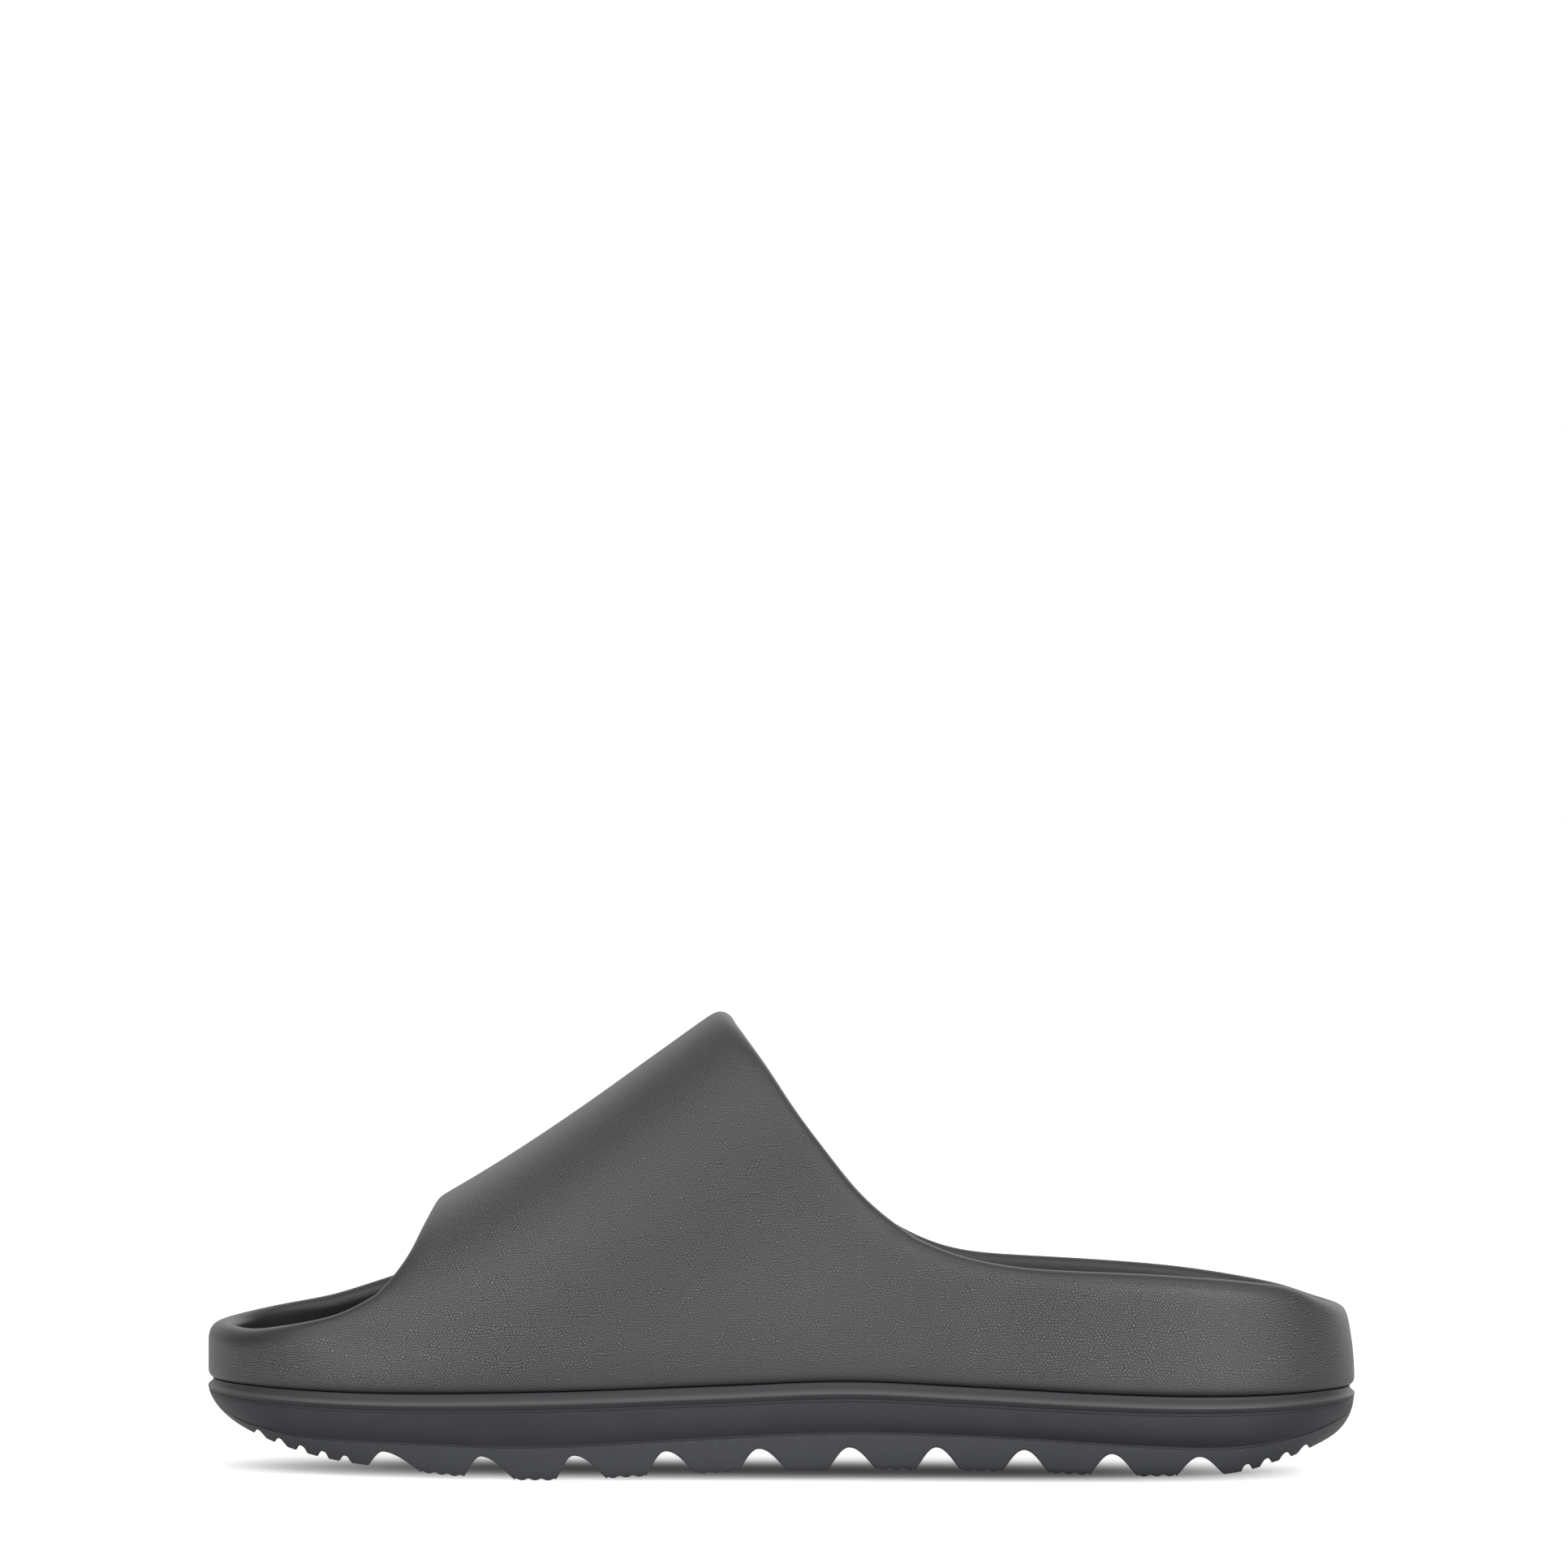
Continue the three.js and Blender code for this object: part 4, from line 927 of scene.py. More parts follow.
@dataclass(frozen=True)
class HatchedFoam(Foam):
    """Smooth foam whose band carries fine crossed diagonal ridges.

    The ridges are two sine waves across the UV map, which holds the way round and the height in metres. The
    mesh's values say where: hatch for the ridges, tip for upright ribs instead, and cove for the smooth skin
    above the lip, which has the upper's colour. The cove value also paints shade: it is low at the cove's top,
    under the groove's overhang, and on the lip's underside, so these take the band's darker colour.

    Attributes:
        cove_colour: The colour of the cove.
        pitch: The ridges' pitch along the shoe in metres.
        steepness: How much steeper than 45 degrees they stand.
        crossing: How much of the ridges' height takes part in the crossing.
        ribs_per_ridge: How many upright ribs stand on a ridge's pitch.
        bend: The noise that bends the ridges, as (size, reach) in metres.
        patch_size: Size in metres of the broad patches in which the ridges vary.
        patch_heights: The ridges' height where a patch is darkest and palest.
        tone_shares: How much the ridges, the fine unevenness and the patches add to the paleness.
        fine_height: Height of the fine unevenness, as a share of the grain's.
    """

    cove_colour: tuple[float, float, float] = (0.075, 0.075, 0.077)
    pitch: float = 0.00085
    steepness: float = 1.15
    crossing: float = 0.55
    ribs_per_ridge: float = 1.3
    bend: tuple[float, float] = (0.004, 0.0003)
    patch_size: float = 0.012
    patch_heights: tuple[float, float] = (0.4, 1.2)
    tone_shares: tuple[float, float, float] = (0.6, 0.2, 0.2)
    fine_height: float = 0.15

    def material(self) -> bpy.types.Material:
        """Returns the material."""
        sheet = self.start()
        point = sheet.coordinates()
        hatch, tip, cove = (sheet.value(name) for name in ("hatch", "tip", "cove"))
        bent = sheet.shift(sheet.surface(), *self.bend)
        along, height = sheet.part(bent, "X"), sheet.part(bent, "Y")
        falling = (along + height * self.steepness).ripple(self.pitch)
        rising = (along - height * self.steepness).ripple(self.pitch)
        upright = along.ripple(self.pitch / self.ribs_per_ridge)
        crossed = falling * (1 - self.crossing) + falling * rising * self.crossing
        fine = sheet.noise(point, self.fine_size)
        patch = sheet.noise(point, self.patch_size)
        ridges = (crossed * (1 - tip) + upright * tip) * hatch * patch.spread(*self.patch_heights)
        ridge_tone, fine_tone, patch_tone = self.tone_shares
        tone = ridges * ridge_tone + fine * fine_tone + patch * patch_tone
        band = sheet.mix((*self.colour, 1), (*self.pale, 1), tone)
        # The cove value paints shade at the cove's top and on the lip's underside.
        colour = sheet.mix(band, (*self.cove_colour, 1), cove)
        normal = sheet.bump(ridges + fine * self.fine_height, self.grain_depth)
        return self.finish(sheet, colour, normal, 1 - cove)


@dataclass(frozen=True)
class PlainFoam(Foam):
    """Smooth satin foam with a fine speckle, stronger along the mesh's value named seam.

    Attributes:
        speck_size: Size of the specks in metres.
        speck_levels: The noise's levels at a speck's foot and at its top.
        speck_tones: How much a speck adds to the paleness, away from the seam and on it.
        speck_heights: Height of a speck as a share of the grain's, away from the seam and on it.
        patch_size: Size in metres of the broad patches.
        tone_shares: How much the fine unevenness and the patches add to the paleness.
        fine_height: Height of the fine unevenness, as a share of the grain's.
    """

    speck_size: float = 0.0007
    speck_levels: tuple[float, float] = (0.5, 0.75)
    speck_tones: tuple[float, float] = (0.12, 0.62)
    speck_heights: tuple[float, float] = (0.1, 1.0)
    patch_size: float = 0.01
    tone_shares: tuple[float, float] = (0.35, 0.3)
    fine_height: float = 0.2

    def material(self) -> bpy.types.Material:
        """Returns the material."""
        sheet = self.start()
        point = sheet.coordinates()
        seam = sheet.value("seam")
        fine = sheet.noise(point, self.fine_size)
        specks = sheet.noise(point, self.speck_size).between(*self.speck_levels)
        patch = sheet.noise(point, self.patch_size)
        fine_tone, patch_tone = self.tone_shares
        tone = fine * fine_tone + patch * patch_tone + specks * seam.spread(*self.speck_tones)
        colour = sheet.mix((*self.colour, 1), (*self.pale, 1), tone)
        height = specks * seam.spread(*self.speck_heights) + fine * self.fine_height
        normal = sheet.bump(height, self.grain_depth)
        return self.finish(sheet, colour, normal, 1 - specks)


@dataclass
class Piece:
    """A piece of the shoe that stands for one solid.

    Attributes:
        last: The shoe's form.
        foam: Its finish.
        node: The solid that it replaces.
        slot: The record's material slot. It is not used.
        name: The piece's own name.
    """

    last: Last
    foam: Foam
    node: str
    slot: str
    name: str

    def build(self) -> bpy.types.Object:
        """Returns the piece's object."""
        raise NotImplementedError

    def place(self) -> bpy.types.Object:
        """Builds the piece, dresses it and ties it to the shoe.

        Returns:
            The piece's object.
        """
        obj = self.build()
        obj.data.materials.append(self.foam.material())
        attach(obj, "root")
        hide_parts(self.node)
        log.info("%s: %d points, %d faces", obj.name, len(obj.data.vertices), len(obj.data.polygons))
        return obj


@dataclass
class Upper(Piece):
    """The foam shell: a low wall round the foot that rises into one strap over the instep.

    Its outer face is a sheet of two grids. The first goes round the foot, from the groove up to the rim or to
    the strap's foot. The second goes from the strap's foot over the ridge. Both faces of the wall are that
    sheet moved in along its normals, and they draw together in a round along the free edges.

    Attributes:
        strap_columns: Steps across the strap between the rounds at its two edges.
        strap_rows: Rows from the strap's foot to the ridge.
        row_power: The power that draws the rows towards the foot.
        turn_step: Turn between the wall's columns in front of the strap and behind it.
        rim_steps: Rows of a free edge's round, as shares of its radius.
        foot_steps: Rows of the round into the groove, as shares of its height.
        middle_rows: Rows of the wall between those two.
        smoothing: How often the normals turn towards their neighbours' mean.
        subdivisions: Levels of the surface's subdivision.
        toe_margin: How far from the toe's edge the grain starts and is full.
        collar_margin: The same from the collar's edge.
        base_margin: The same above the groove.
    """

    strap_columns: int = 17
    strap_rows: int = 12
    row_power: float = 1.3
    turn_step: float = math.pi / 58
    rim_steps: tuple[float, ...] = (0, 0.07, 0.25, 0.55, 1)
    foot_steps: tuple[float, ...] = (0, 0.25, 0.6, 1)
    middle_rows: int = 4
    smoothing: int = 3
    subdivisions: int = 2
    toe_margin: tuple[float, float] = (2.2, 6.5)
    collar_margin: tuple[float, float] = (0.6, 3.6)
    base_margin: tuple[float, float] = (0.8, 2.6)

    def across(self) -> tuple[Array, Array]:
        """The strap's columns, close together at both its edges.

        Returns:
            Each column's share of the way across, and its step in from that share in millimetres.
        """
        steps = np.array(self.rim_steps) * self.last.edge_round
        share = np.linspace(0, 1, self.strap_columns + 1)[1:-1]
        shares = np.concatenate([np.zeros(len(steps)), share, np.ones(len(steps))])
        middle = self.last.edge_round * (1 - 2 * share)
        return shares, np.concatenate([steps, middle, -steps[::-1]])

    def side_columns(self, side: Side) -> tuple[Array, Array, int, int]:
        """The wall's columns along one side, from toe tip to heel tip.

        Args:
            side: Which long side.

        Returns:
            Each column's share of the length, the height where the wall stops there, and the numbers of the
            strap's first and last column.
        """
        last = self.last
        front, back = STRAP_FRONT[side.value][0], STRAP_BACK[side.value][0]
        corner_turns = [math.acos(1 - 2 * at) for at in (front, back)]
        toe_count = max(2, round(math.acos(1 - 2 * STRAP_FRONT["outer"][0]) / self.turn_step))
        heel_count = max(2, round((math.pi - math.acos(1 - 2 * STRAP_BACK["outer"][0])) / self.turn_step))
        toe = (1 - np.cos(np.linspace(0, corner_turns[0], toe_count + 1)[:-1])) / 2
        heel = (1 - np.cos(np.linspace(corner_turns[1], math.pi, heel_count + 1)[1:])) / 2
        shares, steps = self.across()
        strap = last.at_of(blend(last.x_of(front), last.x_of(back), shares) + steps)
        along = (strap - front) / (back - front)
        angle = blend(math.asin(STRAP_FRONT["climb"][0]), math.asin(STRAP_BACK["climb"][0]), along)
        tops = [
            last.groove(toe) + last.rim(side, True)(toe),
            last.climb_to(strap, np.sin(angle)),
            last.groove(heel) + last.rim(side, False)(heel),
        ]
        return np.concatenate([toe, strap, heel]), np.concatenate(tops), len(toe), len(toe) + len(strap) - 1

    def strap_points(self, side: Side, rows: Array) -> Array:
        """Points of the strap's outer face on one side.

        Args:
            side: Which long side.
            rows: Shares of the way from the strap's foot to the ridge, by angle.

        Returns:
            The points, as (rows, columns, 3).
        """
        last = self.last
        ends = []
        for strap in (STRAP_FRONT, STRAP_BACK):
            angle = blend(math.asin(strap["climb"][0]), math.pi / 2, rows)
            ends.append((angle, last.x_of(strap.curve(side.value)(np.sin(angle)))))
        (angle_front, front), (angle_back, back) = ends
        shares, steps = self.across()
        x = blend(front[:, None], back[:, None], shares) + steps
        at = last.at_of(x)
        along = (x - front[:, None]) / (back - front)[:, None]
        climb = np.sin(blend(angle_front[:, None], angle_back[:, None], along))
        turn = np.arccos(1 - 2 * at)
        if side is Side.INNER:
            turn = 2 * math.pi - turn
        half = last.outline(turn).y - last.crest_shift
        y = last.crest_shift + half * last.arch_width(climb)
        return np.stack([x, y, last.climb_to(at, climb)], axis=-1)

    def way_round(self, turn: Array, side: Side) -> Array:
        """Returns how far round the outline a turn lies from the toe tip, less than 0 on the inner side."""
        fine = np.linspace(0, math.pi, ROUND_SAMPLES)
        sign = 1 if side is Side.OUTER else -1
        line = self.last.outline(fine if side is Side.OUTER else 2 * math.pi - fine)
        way = np.concatenate([[0], np.cumsum(np.hypot(np.diff(line.x), np.diff(line.y)))])
        return sign * np.interp(np.minimum(turn, 2 * math.pi - turn), fine, way)

    @staticmethod
    def climbed(points: Array) -> Array:
        """Returns how far up a grid's rows lie from the first, as (columns, rows), by height and width."""
        step = np.hypot(np.diff(points[..., 1], axis=1), np.diff(points[..., 2], axis=1))
        return np.concatenate([np.zeros((len(points), 1)), np.cumsum(step, axis=1)], axis=1)

    def sheet(self) -> tuple[Array, Array, Array, list[Array], Array]:
        """The outer face before the wall gets its thickness.

        Returns:
            Its points, its quads, the UV map at their corners, the two free edges as closed runs of point
            numbers, and the base's run.
        """
        last = self.last
        at_outer, top_outer, first, end = self.side_columns(Side.OUTER)
        at_inner, top_inner, _, _ = self.side_columns(Side.INNER)
        tip = len(at_outer) - 1
        at = np.concatenate([at_outer, at_inner[-2:0:-1]])
        top = np.concatenate([top_outer, top_inner[-2:0:-1]])
        turn = np.arccos(1 - 2 * at)
        turn[tip + 1:] = 2 * math.pi - turn[tip + 1:]
        base = last.groove(at) + last.seam / 2
        low = base[:, None] + np.array(self.foot_steps) * last.groove_round
        high = top[:, None] - np.array(self.rim_steps)[::-1] * last.edge_round
        share = np.arange(1, self.middle_rows + 1) / (self.middle_rows + 1)
        middle = blend(low[:, -1:], high[:, :1], share)
        heights = np.concatenate([low, middle, high], axis=1)
        wall = last.wall_points(turn[:, None], heights)
        ring = np.arange(wall.shape[0] * wall.shape[1]).reshape(wall.shape[:2])
        points = [wall.reshape(-1, 3)]
        quads = [grid_quads(ring, closed=True)]
        round_ring = {side: self.way_round(turn, side) for side in Side}
        up_ring = self.climbed(wall)
        maps = [
            np.stack(np.broadcast_arrays(round_ring[side][:, None], up_ring), -1).reshape(-1, 2)[quads[0]]
            for side in Side
        ]
        on_outer = np.repeat(np.arange(len(turn)) < tip, ring.shape[1] - 1)
        maps_used = [np.where(on_outer[:, None, None], *maps)]
        count = ring.size
        rows = (np.arange(1, self.strap_rows + 1) / self.strap_rows) ** self.row_power
        columns = np.arange(first, end + 1)
        ridge = None
        straps: dict[Side, Array] = {}
        for side in Side:
            block = self.strap_points(side, rows)
            if ridge is None:
                index = count + np.arange(block.shape[0] * block.shape[1]).reshape(block.shape[:2])
                points.append(block.reshape(-1, 3))
                count += index.size
                ridge = index[-1]
                foot = ring[columns, -1]
            else:
                index = count + np.arange((block.shape[0] - 1) * block.shape[1]).reshape(-1, block.shape[1])
                points.append(block[:-1].reshape(-1, 3))
                count += index.size
                index = np.concatenate([index, ridge[None]])
                foot = ring[(2 * tip - columns) % len(ring), -1]
            index = np.concatenate([foot[None], index])
            straps[side] = index
            faces = grid_quads(index)
            whole = np.concatenate([points[0][foot][None], block])
            up = up_ring.ravel()[foot] + self.climbed(whole.transpose(1, 0, 2)).T
            at_turn = np.arccos(1 - 2 * last.at_of(whole[..., 0]))
            place = np.stack([self.way_round(at_turn, side), up], axis=-1).reshape(-1, 2)
            corners = place[grid_quads(np.arange(index.size).reshape(index.shape))]
            if side is Side.OUTER:
                faces, corners = faces[:, ::-1], corners[:, ::-1]
            quads.append(faces)
            maps_used.append(corners)
        edges = []
        for column, run in ((0, np.arange(first + 1)), (-1, tip - np.arange(tip - end + 1))):
            over = np.concatenate([straps[Side.OUTER][1:, column], straps[Side.INNER][-2:0:-1, column]])
            back = ring[(2 * tip - run[::-1]) % len(ring), -1]
            edges.append(np.concatenate([ring[run, -1], over, back[:-1]]))
        uv = np.concatenate(maps_used) * MM
        return np.concatenate(points), np.concatenate(quads), uv, edges, ring[:, 0]

    def normals(self, points: Array, quads: Array) -> Array:
        """Outward directions at the sheet's points.

        They are the mean of the faces around each point, turned a little towards the neighbours' mean.

        Args:
            points: The sheet's points.
            quads: Its faces.

        Returns:
            Unit directions, as (n, 3).
        """
        corner = points[quads]
        face = np.cross(corner[:, 2] - corner[:, 0], corner[:, 3] - corner[:, 1])
        normals = np.zeros_like(points)
        for i in range(4):
            np.add.at(normals, quads[:, i], face)
        normals /= np.linalg.norm(normals, axis=1, keepdims=True)
        for _ in range(self.smoothing):
            total = normals * 2
            for i in range(4):
                np.add.at(total, quads[:, i], normals[quads[:, (i + 1) % 4]])
                np.add.at(total, quads[:, i], normals[quads[:, (i + 3) % 4]])
            normals = total / np.linalg.norm(total, axis=1, keepdims=True)
        return normals

    @staticmethod
    def edge_distance(points: Array, edge: Array) -> Array:
        """Returns each point's distance from a free edge."""
        start = points[edge]
        way = points[np.roll(edge, -1)] - start
        offset = points[:, None] - start
        share = np.clip((offset * way).sum(-1) / (way * way).sum(-1), 0, 1)
        return np.linalg.norm(offset - share[..., None] * way, axis=-1).min(axis=1)

    @staticmethod
    def rounded(distance: Array, radius: float) -> Array:
        """Returns how far a quarter round of a radius has drawn in at a distance from the edge."""
        reach = np.clip(radius - distance, 0, radius)
        return radius - np.sqrt(radius**2 - reach**2)

    def build(self) -> bpy.types.Object:
        """Returns the shell, closed, with the strength of its grain at each point."""
        last = self.last
        points, quads, uv, edges, base = self.sheet()
        normals = self.normals(points, quads)
        from_toe, from_collar = (self.edge_distance(points, edge) for edge in edges)
        distance = np.minimum(from_toe, from_collar)
        above = points[:, 2] - last.groove(last.at_of(points[:, 0])) - last.seam / 2
        low = np.clip(1 - above / last.groove_round, 0, 1)
        depth = self.rounded(distance, last.edge_round) + last.groove_depth * low**2
        outer = points - normals * depth[:, None]
        inner_depth = last.wall - self.rounded(distance, last.wall - last.edge_round)
        inner = points - normals * inner_depth[:, None]
        outer[base, 2] = inner[base, 2] = points[base, 2]
        on_edge = distance < TINY
        number = np.arange(len(points))
        inside = np.where(on_edge, number, number + len(points))
        following = np.roll(base, -1)
        under = np.stack([base, inside[base], inside[following], following], axis=1)
        faces = np.concatenate([quads, inside[quads[:, ::-1]], under])
        grain = smooth(from_toe, *self.toe_margin) * smooth(from_collar, *self.collar_margin)
        grain = grain * smooth(above, *self.base_margin)
        values = {"grain": np.concatenate([grain, np.zeros(len(points))])}
        corners = np.concatenate([uv, uv[:, ::-1], np.zeros((len(under), 4, 2))])
        obj = make_piece(self.name, np.concatenate([outer, inner]), faces, values, corners)
        soften = obj.modifiers.new("soften", "SUBSURF")
        soften.levels = soften.render_levels = self.subdivisions
        return obj


@dataclass
class Footbed(Piece):
    """The dished bed that fills the upper's floor, with a swelling under the arch.

    Attributes:
        stations: Stations along each side.
        bed_rise: The height above the groove that the bed's shares refer to.
        dish_rise: How much the bed rises towards its edge.
        dish_width: Over what distance it does.
        arch_support: Height of the swelling.
        edge_round: Radius of the bed's edge.
        arch_place: The swelling's share of the length, its reach, and the share of the ball width where it
            is full.
        spine: Shares of the length at which the middle line starts and ends.
        spine_rings: Rings from the middle line to the dish.
        dish_rings: Rings of the dish.
        round_rings: Rings of the edge's round.
        grain: Strength of the grain.
        plain_rings: How many of the last rings have none.
    """

    stations: int = 150
    bed_rise: float = 11.0
    dish_rise: float = 5.5
    dish_width: float = 15.0
    arch_support: float = 3.5
    edge_round: float = 1.0
    arch_place: tuple[float, float, float] = (0.56, 0.13, 0.4)
    spine: tuple[float, float] = (0.17, 0.86)
    spine_rings: int = 8
    dish_rings: int = 16
    round_rings: int = 4
    grain: float = 0.75
    plain_rings: int = 7

    def height(self, at: Array, y: Array, from_edge: Array | float) -> Array:
        """The bed's height.

        It is the table's line, plus a parabola up towards the edge, plus a bell along the arch on the inner
        side.

        Args:
            at: Share of the length.
            y: Place across the shoe.
            from_edge: Distance from the bed's edge.

        Returns:
            Heights above the floor.
        """
        dish = self.dish_rise * np.maximum(0, 1 - from_edge / self.dish_width) ** 2
        middle, reach, full_at = self.arch_place
        bell = np.exp(-(((at - middle) / reach) ** 2)) * smooth(y, 0, full_at * self.last.ball_width)
        rise = self.bed_rise * BED.curve("rise")(at)
        return self.last.groove(at) + rise + dish + self.arch_support * bell

    def build(self) -> bpy.types.Object:
        """Returns the bed as rings from its spine line out over the dish and down its side."""
        last = self.last
        turn = ring_turns(np.linspace(0, math.pi, self.stations + 1))
        line = last.outline(turn)
        inset = last.wall + last.fit_gap

        def beside(height: Array, extra: Array | float) -> Array:
            """Returns the bed's side line at a height, moved in by an extra amount."""
            point = last.inside_wall(turn, height, inset)
            point[:, 0] -= line.out_x * extra
            point[:, 1] -= line.out_y * extra
            return point

        def on_bed(from_edge: float) -> Array:
            """Returns the line on the bed at a distance from its edge."""
            point = beside(last.foot(line.at), from_edge)
            point[:, 2] = self.height(last.at_of(point[:, 0]), point[:, 1], from_edge)
            return point

        at = blend(*self.spine, line.at)
        half = np.arccos(1 - 2 * at)
        middle = (last.outline(half).y + last.outline(2 * math.pi - half).y) / 2
        spine = np.stack([last.x_of(at), middle, self.height(at, middle, self.dish_width)], axis=-1)
        rings = []
        inner = on_bed(self.dish_width)
        for share in np.linspace(0, 1, self.spine_rings + 1)[:-1]:
            point = blend(spine, inner, share)
            point[:, 2] = self.height(last.at_of(point[:, 0]), point[:, 1], self.dish_width)
            rings.append(point)
        edge_height = on_bed(0.0)[:, 2]
        rings += [on_bed(width) for width in np.linspace(self.dish_width, self.edge_round, self.dish_rings)]
        for angle in np.linspace(0, math.pi / 2, self.round_rings + 1)[1:]:
            drop = self.edge_round * (1 - math.cos(angle))
            rings.append(beside(edge_height - drop, self.edge_round * (1 - math.sin(angle))))
        rings.append(beside(last.groove(line.at) + last.fit_gap / 2, 0.0))
        points, quads = ring_body(np.array(rings))
        ring = np.repeat(np.arange(len(rings)), len(turn))
        values = {"grain": np.where(ring < len(rings) - self.plain_rings, self.grain, 0.0)}
        return make_piece(self.name, points, quads, values, points[quads][..., :2] * MM)


def ring_body(rings: Array) -> tuple[Array, Array]:
    """A closed body from rings that go round the shoe in the same order.

    Args:
        rings: Points, as (rings, stations, 3). The first and last ring are closed straight across.

    Returns:
        The points as (n, 3), and the faces.
    """
    count, stations = rings.shape[:2]
    index = np.arange(count * stations).reshape(count, stations)
    quads = [grid_quads(index.T, closed=True)]
    half = np.arange(stations // 2 + 1)
    for ring, turned in ((index[0], False), (index[-1], True)):
        pairs = np.stack([ring[half], ring[-half % stations]], axis=1)
        faces = grid_quads(pairs)
        quads.append(faces[:, ::-1] if turned else faces)
    return rings.reshape(-1, 3), np.concatenate(quads)


@dataclass
class Midsole(Piece):
    """The block below the groove: a concave cove, a lip, a fine bead under its crease, and a tall side band.

    Attributes:
        stations: Stations along each side.
        cove_rows: Rings of the cove.
        band_rows: Rings of the band.
        bead_rows: Rings of the bead, as millimetres below the crease.
        hatch_start: How far below the crease the ridges start.
        hatch_end: Shares of the band's height at which they start to fade and end.
        cove_dark: The share of the cove's colour that its top has, as painted shade under the groove's
            overhang.
        cove_light: Shares of the cove's height between which it grows full, where that painted shade lifts.
        cove_end: Shares of the cove's height between which it ends, as painted shade on the lip's underside.
        tip_ribs: Lengthwise parts of the outward direction between which upright ribs take over.
    """

    stations: int = 300
    cove_rows: int = 24
    band_rows: int = 12
    bead_rows: tuple[float, ...] = (
        0.05, 0.09, 0.13, 0.18, 0.24, 0.33, 0.42, 0.54, 0.62, 0.68, 0.73, 0.78, 0.83, 0.88, 0.94, 1.1, 1.3,
    )
    hatch_start: float = 0.9
    hatch_end: tuple[float, float] = (0.55, 0.85)
    cove_dark: float = 0.25
    cove_light: tuple[float, float] = (0.2, 0.7)
    cove_end: tuple[float, float] = (0.64, 0.8)
    tip_ribs: tuple[float, float] = (0.55, 0.9)

    def build(self) -> bpy.types.Object:
        """Returns the block as rings from the groove down to the tread layer."""
        last = self.last
        turn = ring_turns(np.linspace(0, math.pi, self.stations + 1))
        line = last.outline(turn)
        top = last.groove(line.at) - last.seam / 2
        crease, bottom, parting = last.crease(line), last.lug_line(line), last.parting(line)
        rings, hatches, cove_and_shade = [], [], []

        def add(inset: Array, height: Array, hatch: float, cove: float) -> None:
            """Adds a ring with its two values."""
            rings.append(line.inset(inset, height))
            hatches.append(hatch)
            cove_and_shade.append(cove)

        def drawn_in(down: Array) -> Array:
            """Returns how far the side stands in at a share of the way down, with the band's undercut."""
            undercut = last.band_undercut * (1 - line.out_x**2) * (down / parting) ** 3
            return last.drawn(line, down) + undercut

        for down in np.linspace(0, 1, self.cove_rows):
            height = blend(top, crease, down)
            # Painted shade: the cove's colour is dim at its top, under the groove's overhang, and gives way to
            # the band's darker colour on the lip's underside, which faces down.
            light = blend(self.cove_dark, 1.0, smooth(down, *self.cove_light))
            light = light * (1 - smooth(down, *self.cove_end))
            add(last.groove_depth * COVE.curve("inset")(down), height, 0.0, light)
        for below in self.bead_rows:
            inset = BEAD.curve("inset")(below) + drawn_in(below / (crease - bottom))
            add(inset, crease - below, 1.0 if below > self.hatch_start else 0.0, 0.0)
        start = self.bead_rows[-1] / (crease - bottom)
        for share in np.linspace(0, 1, self.band_rows + 1)[1:]:
            down = blend(start, parting, share)
            height = blend(crease, bottom, down) + last.seam / 2 * share
            add(last.band_inset + drawn_in(down), height, 1 - smooth(share, *self.hatch_end), 0.0)
        points, quads = ring_body(np.array(rings))
        values = {
            "hatch": np.repeat(hatches, len(turn)),
            "cove": np.repeat(cove_and_shade, len(turn)),
            "tip": np.tile(smooth(np.abs(line.out_x), *self.tip_ribs), len(rings)),
        }
        way = np.linalg.norm(np.diff(rings[0], axis=0, append=rings[0][:1]), axis=1)
        along = np.tile(np.concatenate([[0], np.cumsum(way)[:-1]]), len(rings))
        uv = np.stack([along, points[:, 2]], axis=1)[quads]
        wrapped = uv[..., 0].max(axis=1) - uv[..., 0].min(axis=1) > way.sum() / 2
        uv[..., 0] += np.where(wrapped[:, None] & (uv[..., 0] < way.sum() / 2), way.sum(), 0)
        return make_piece(self.name, points, quads, values, uv * MM)


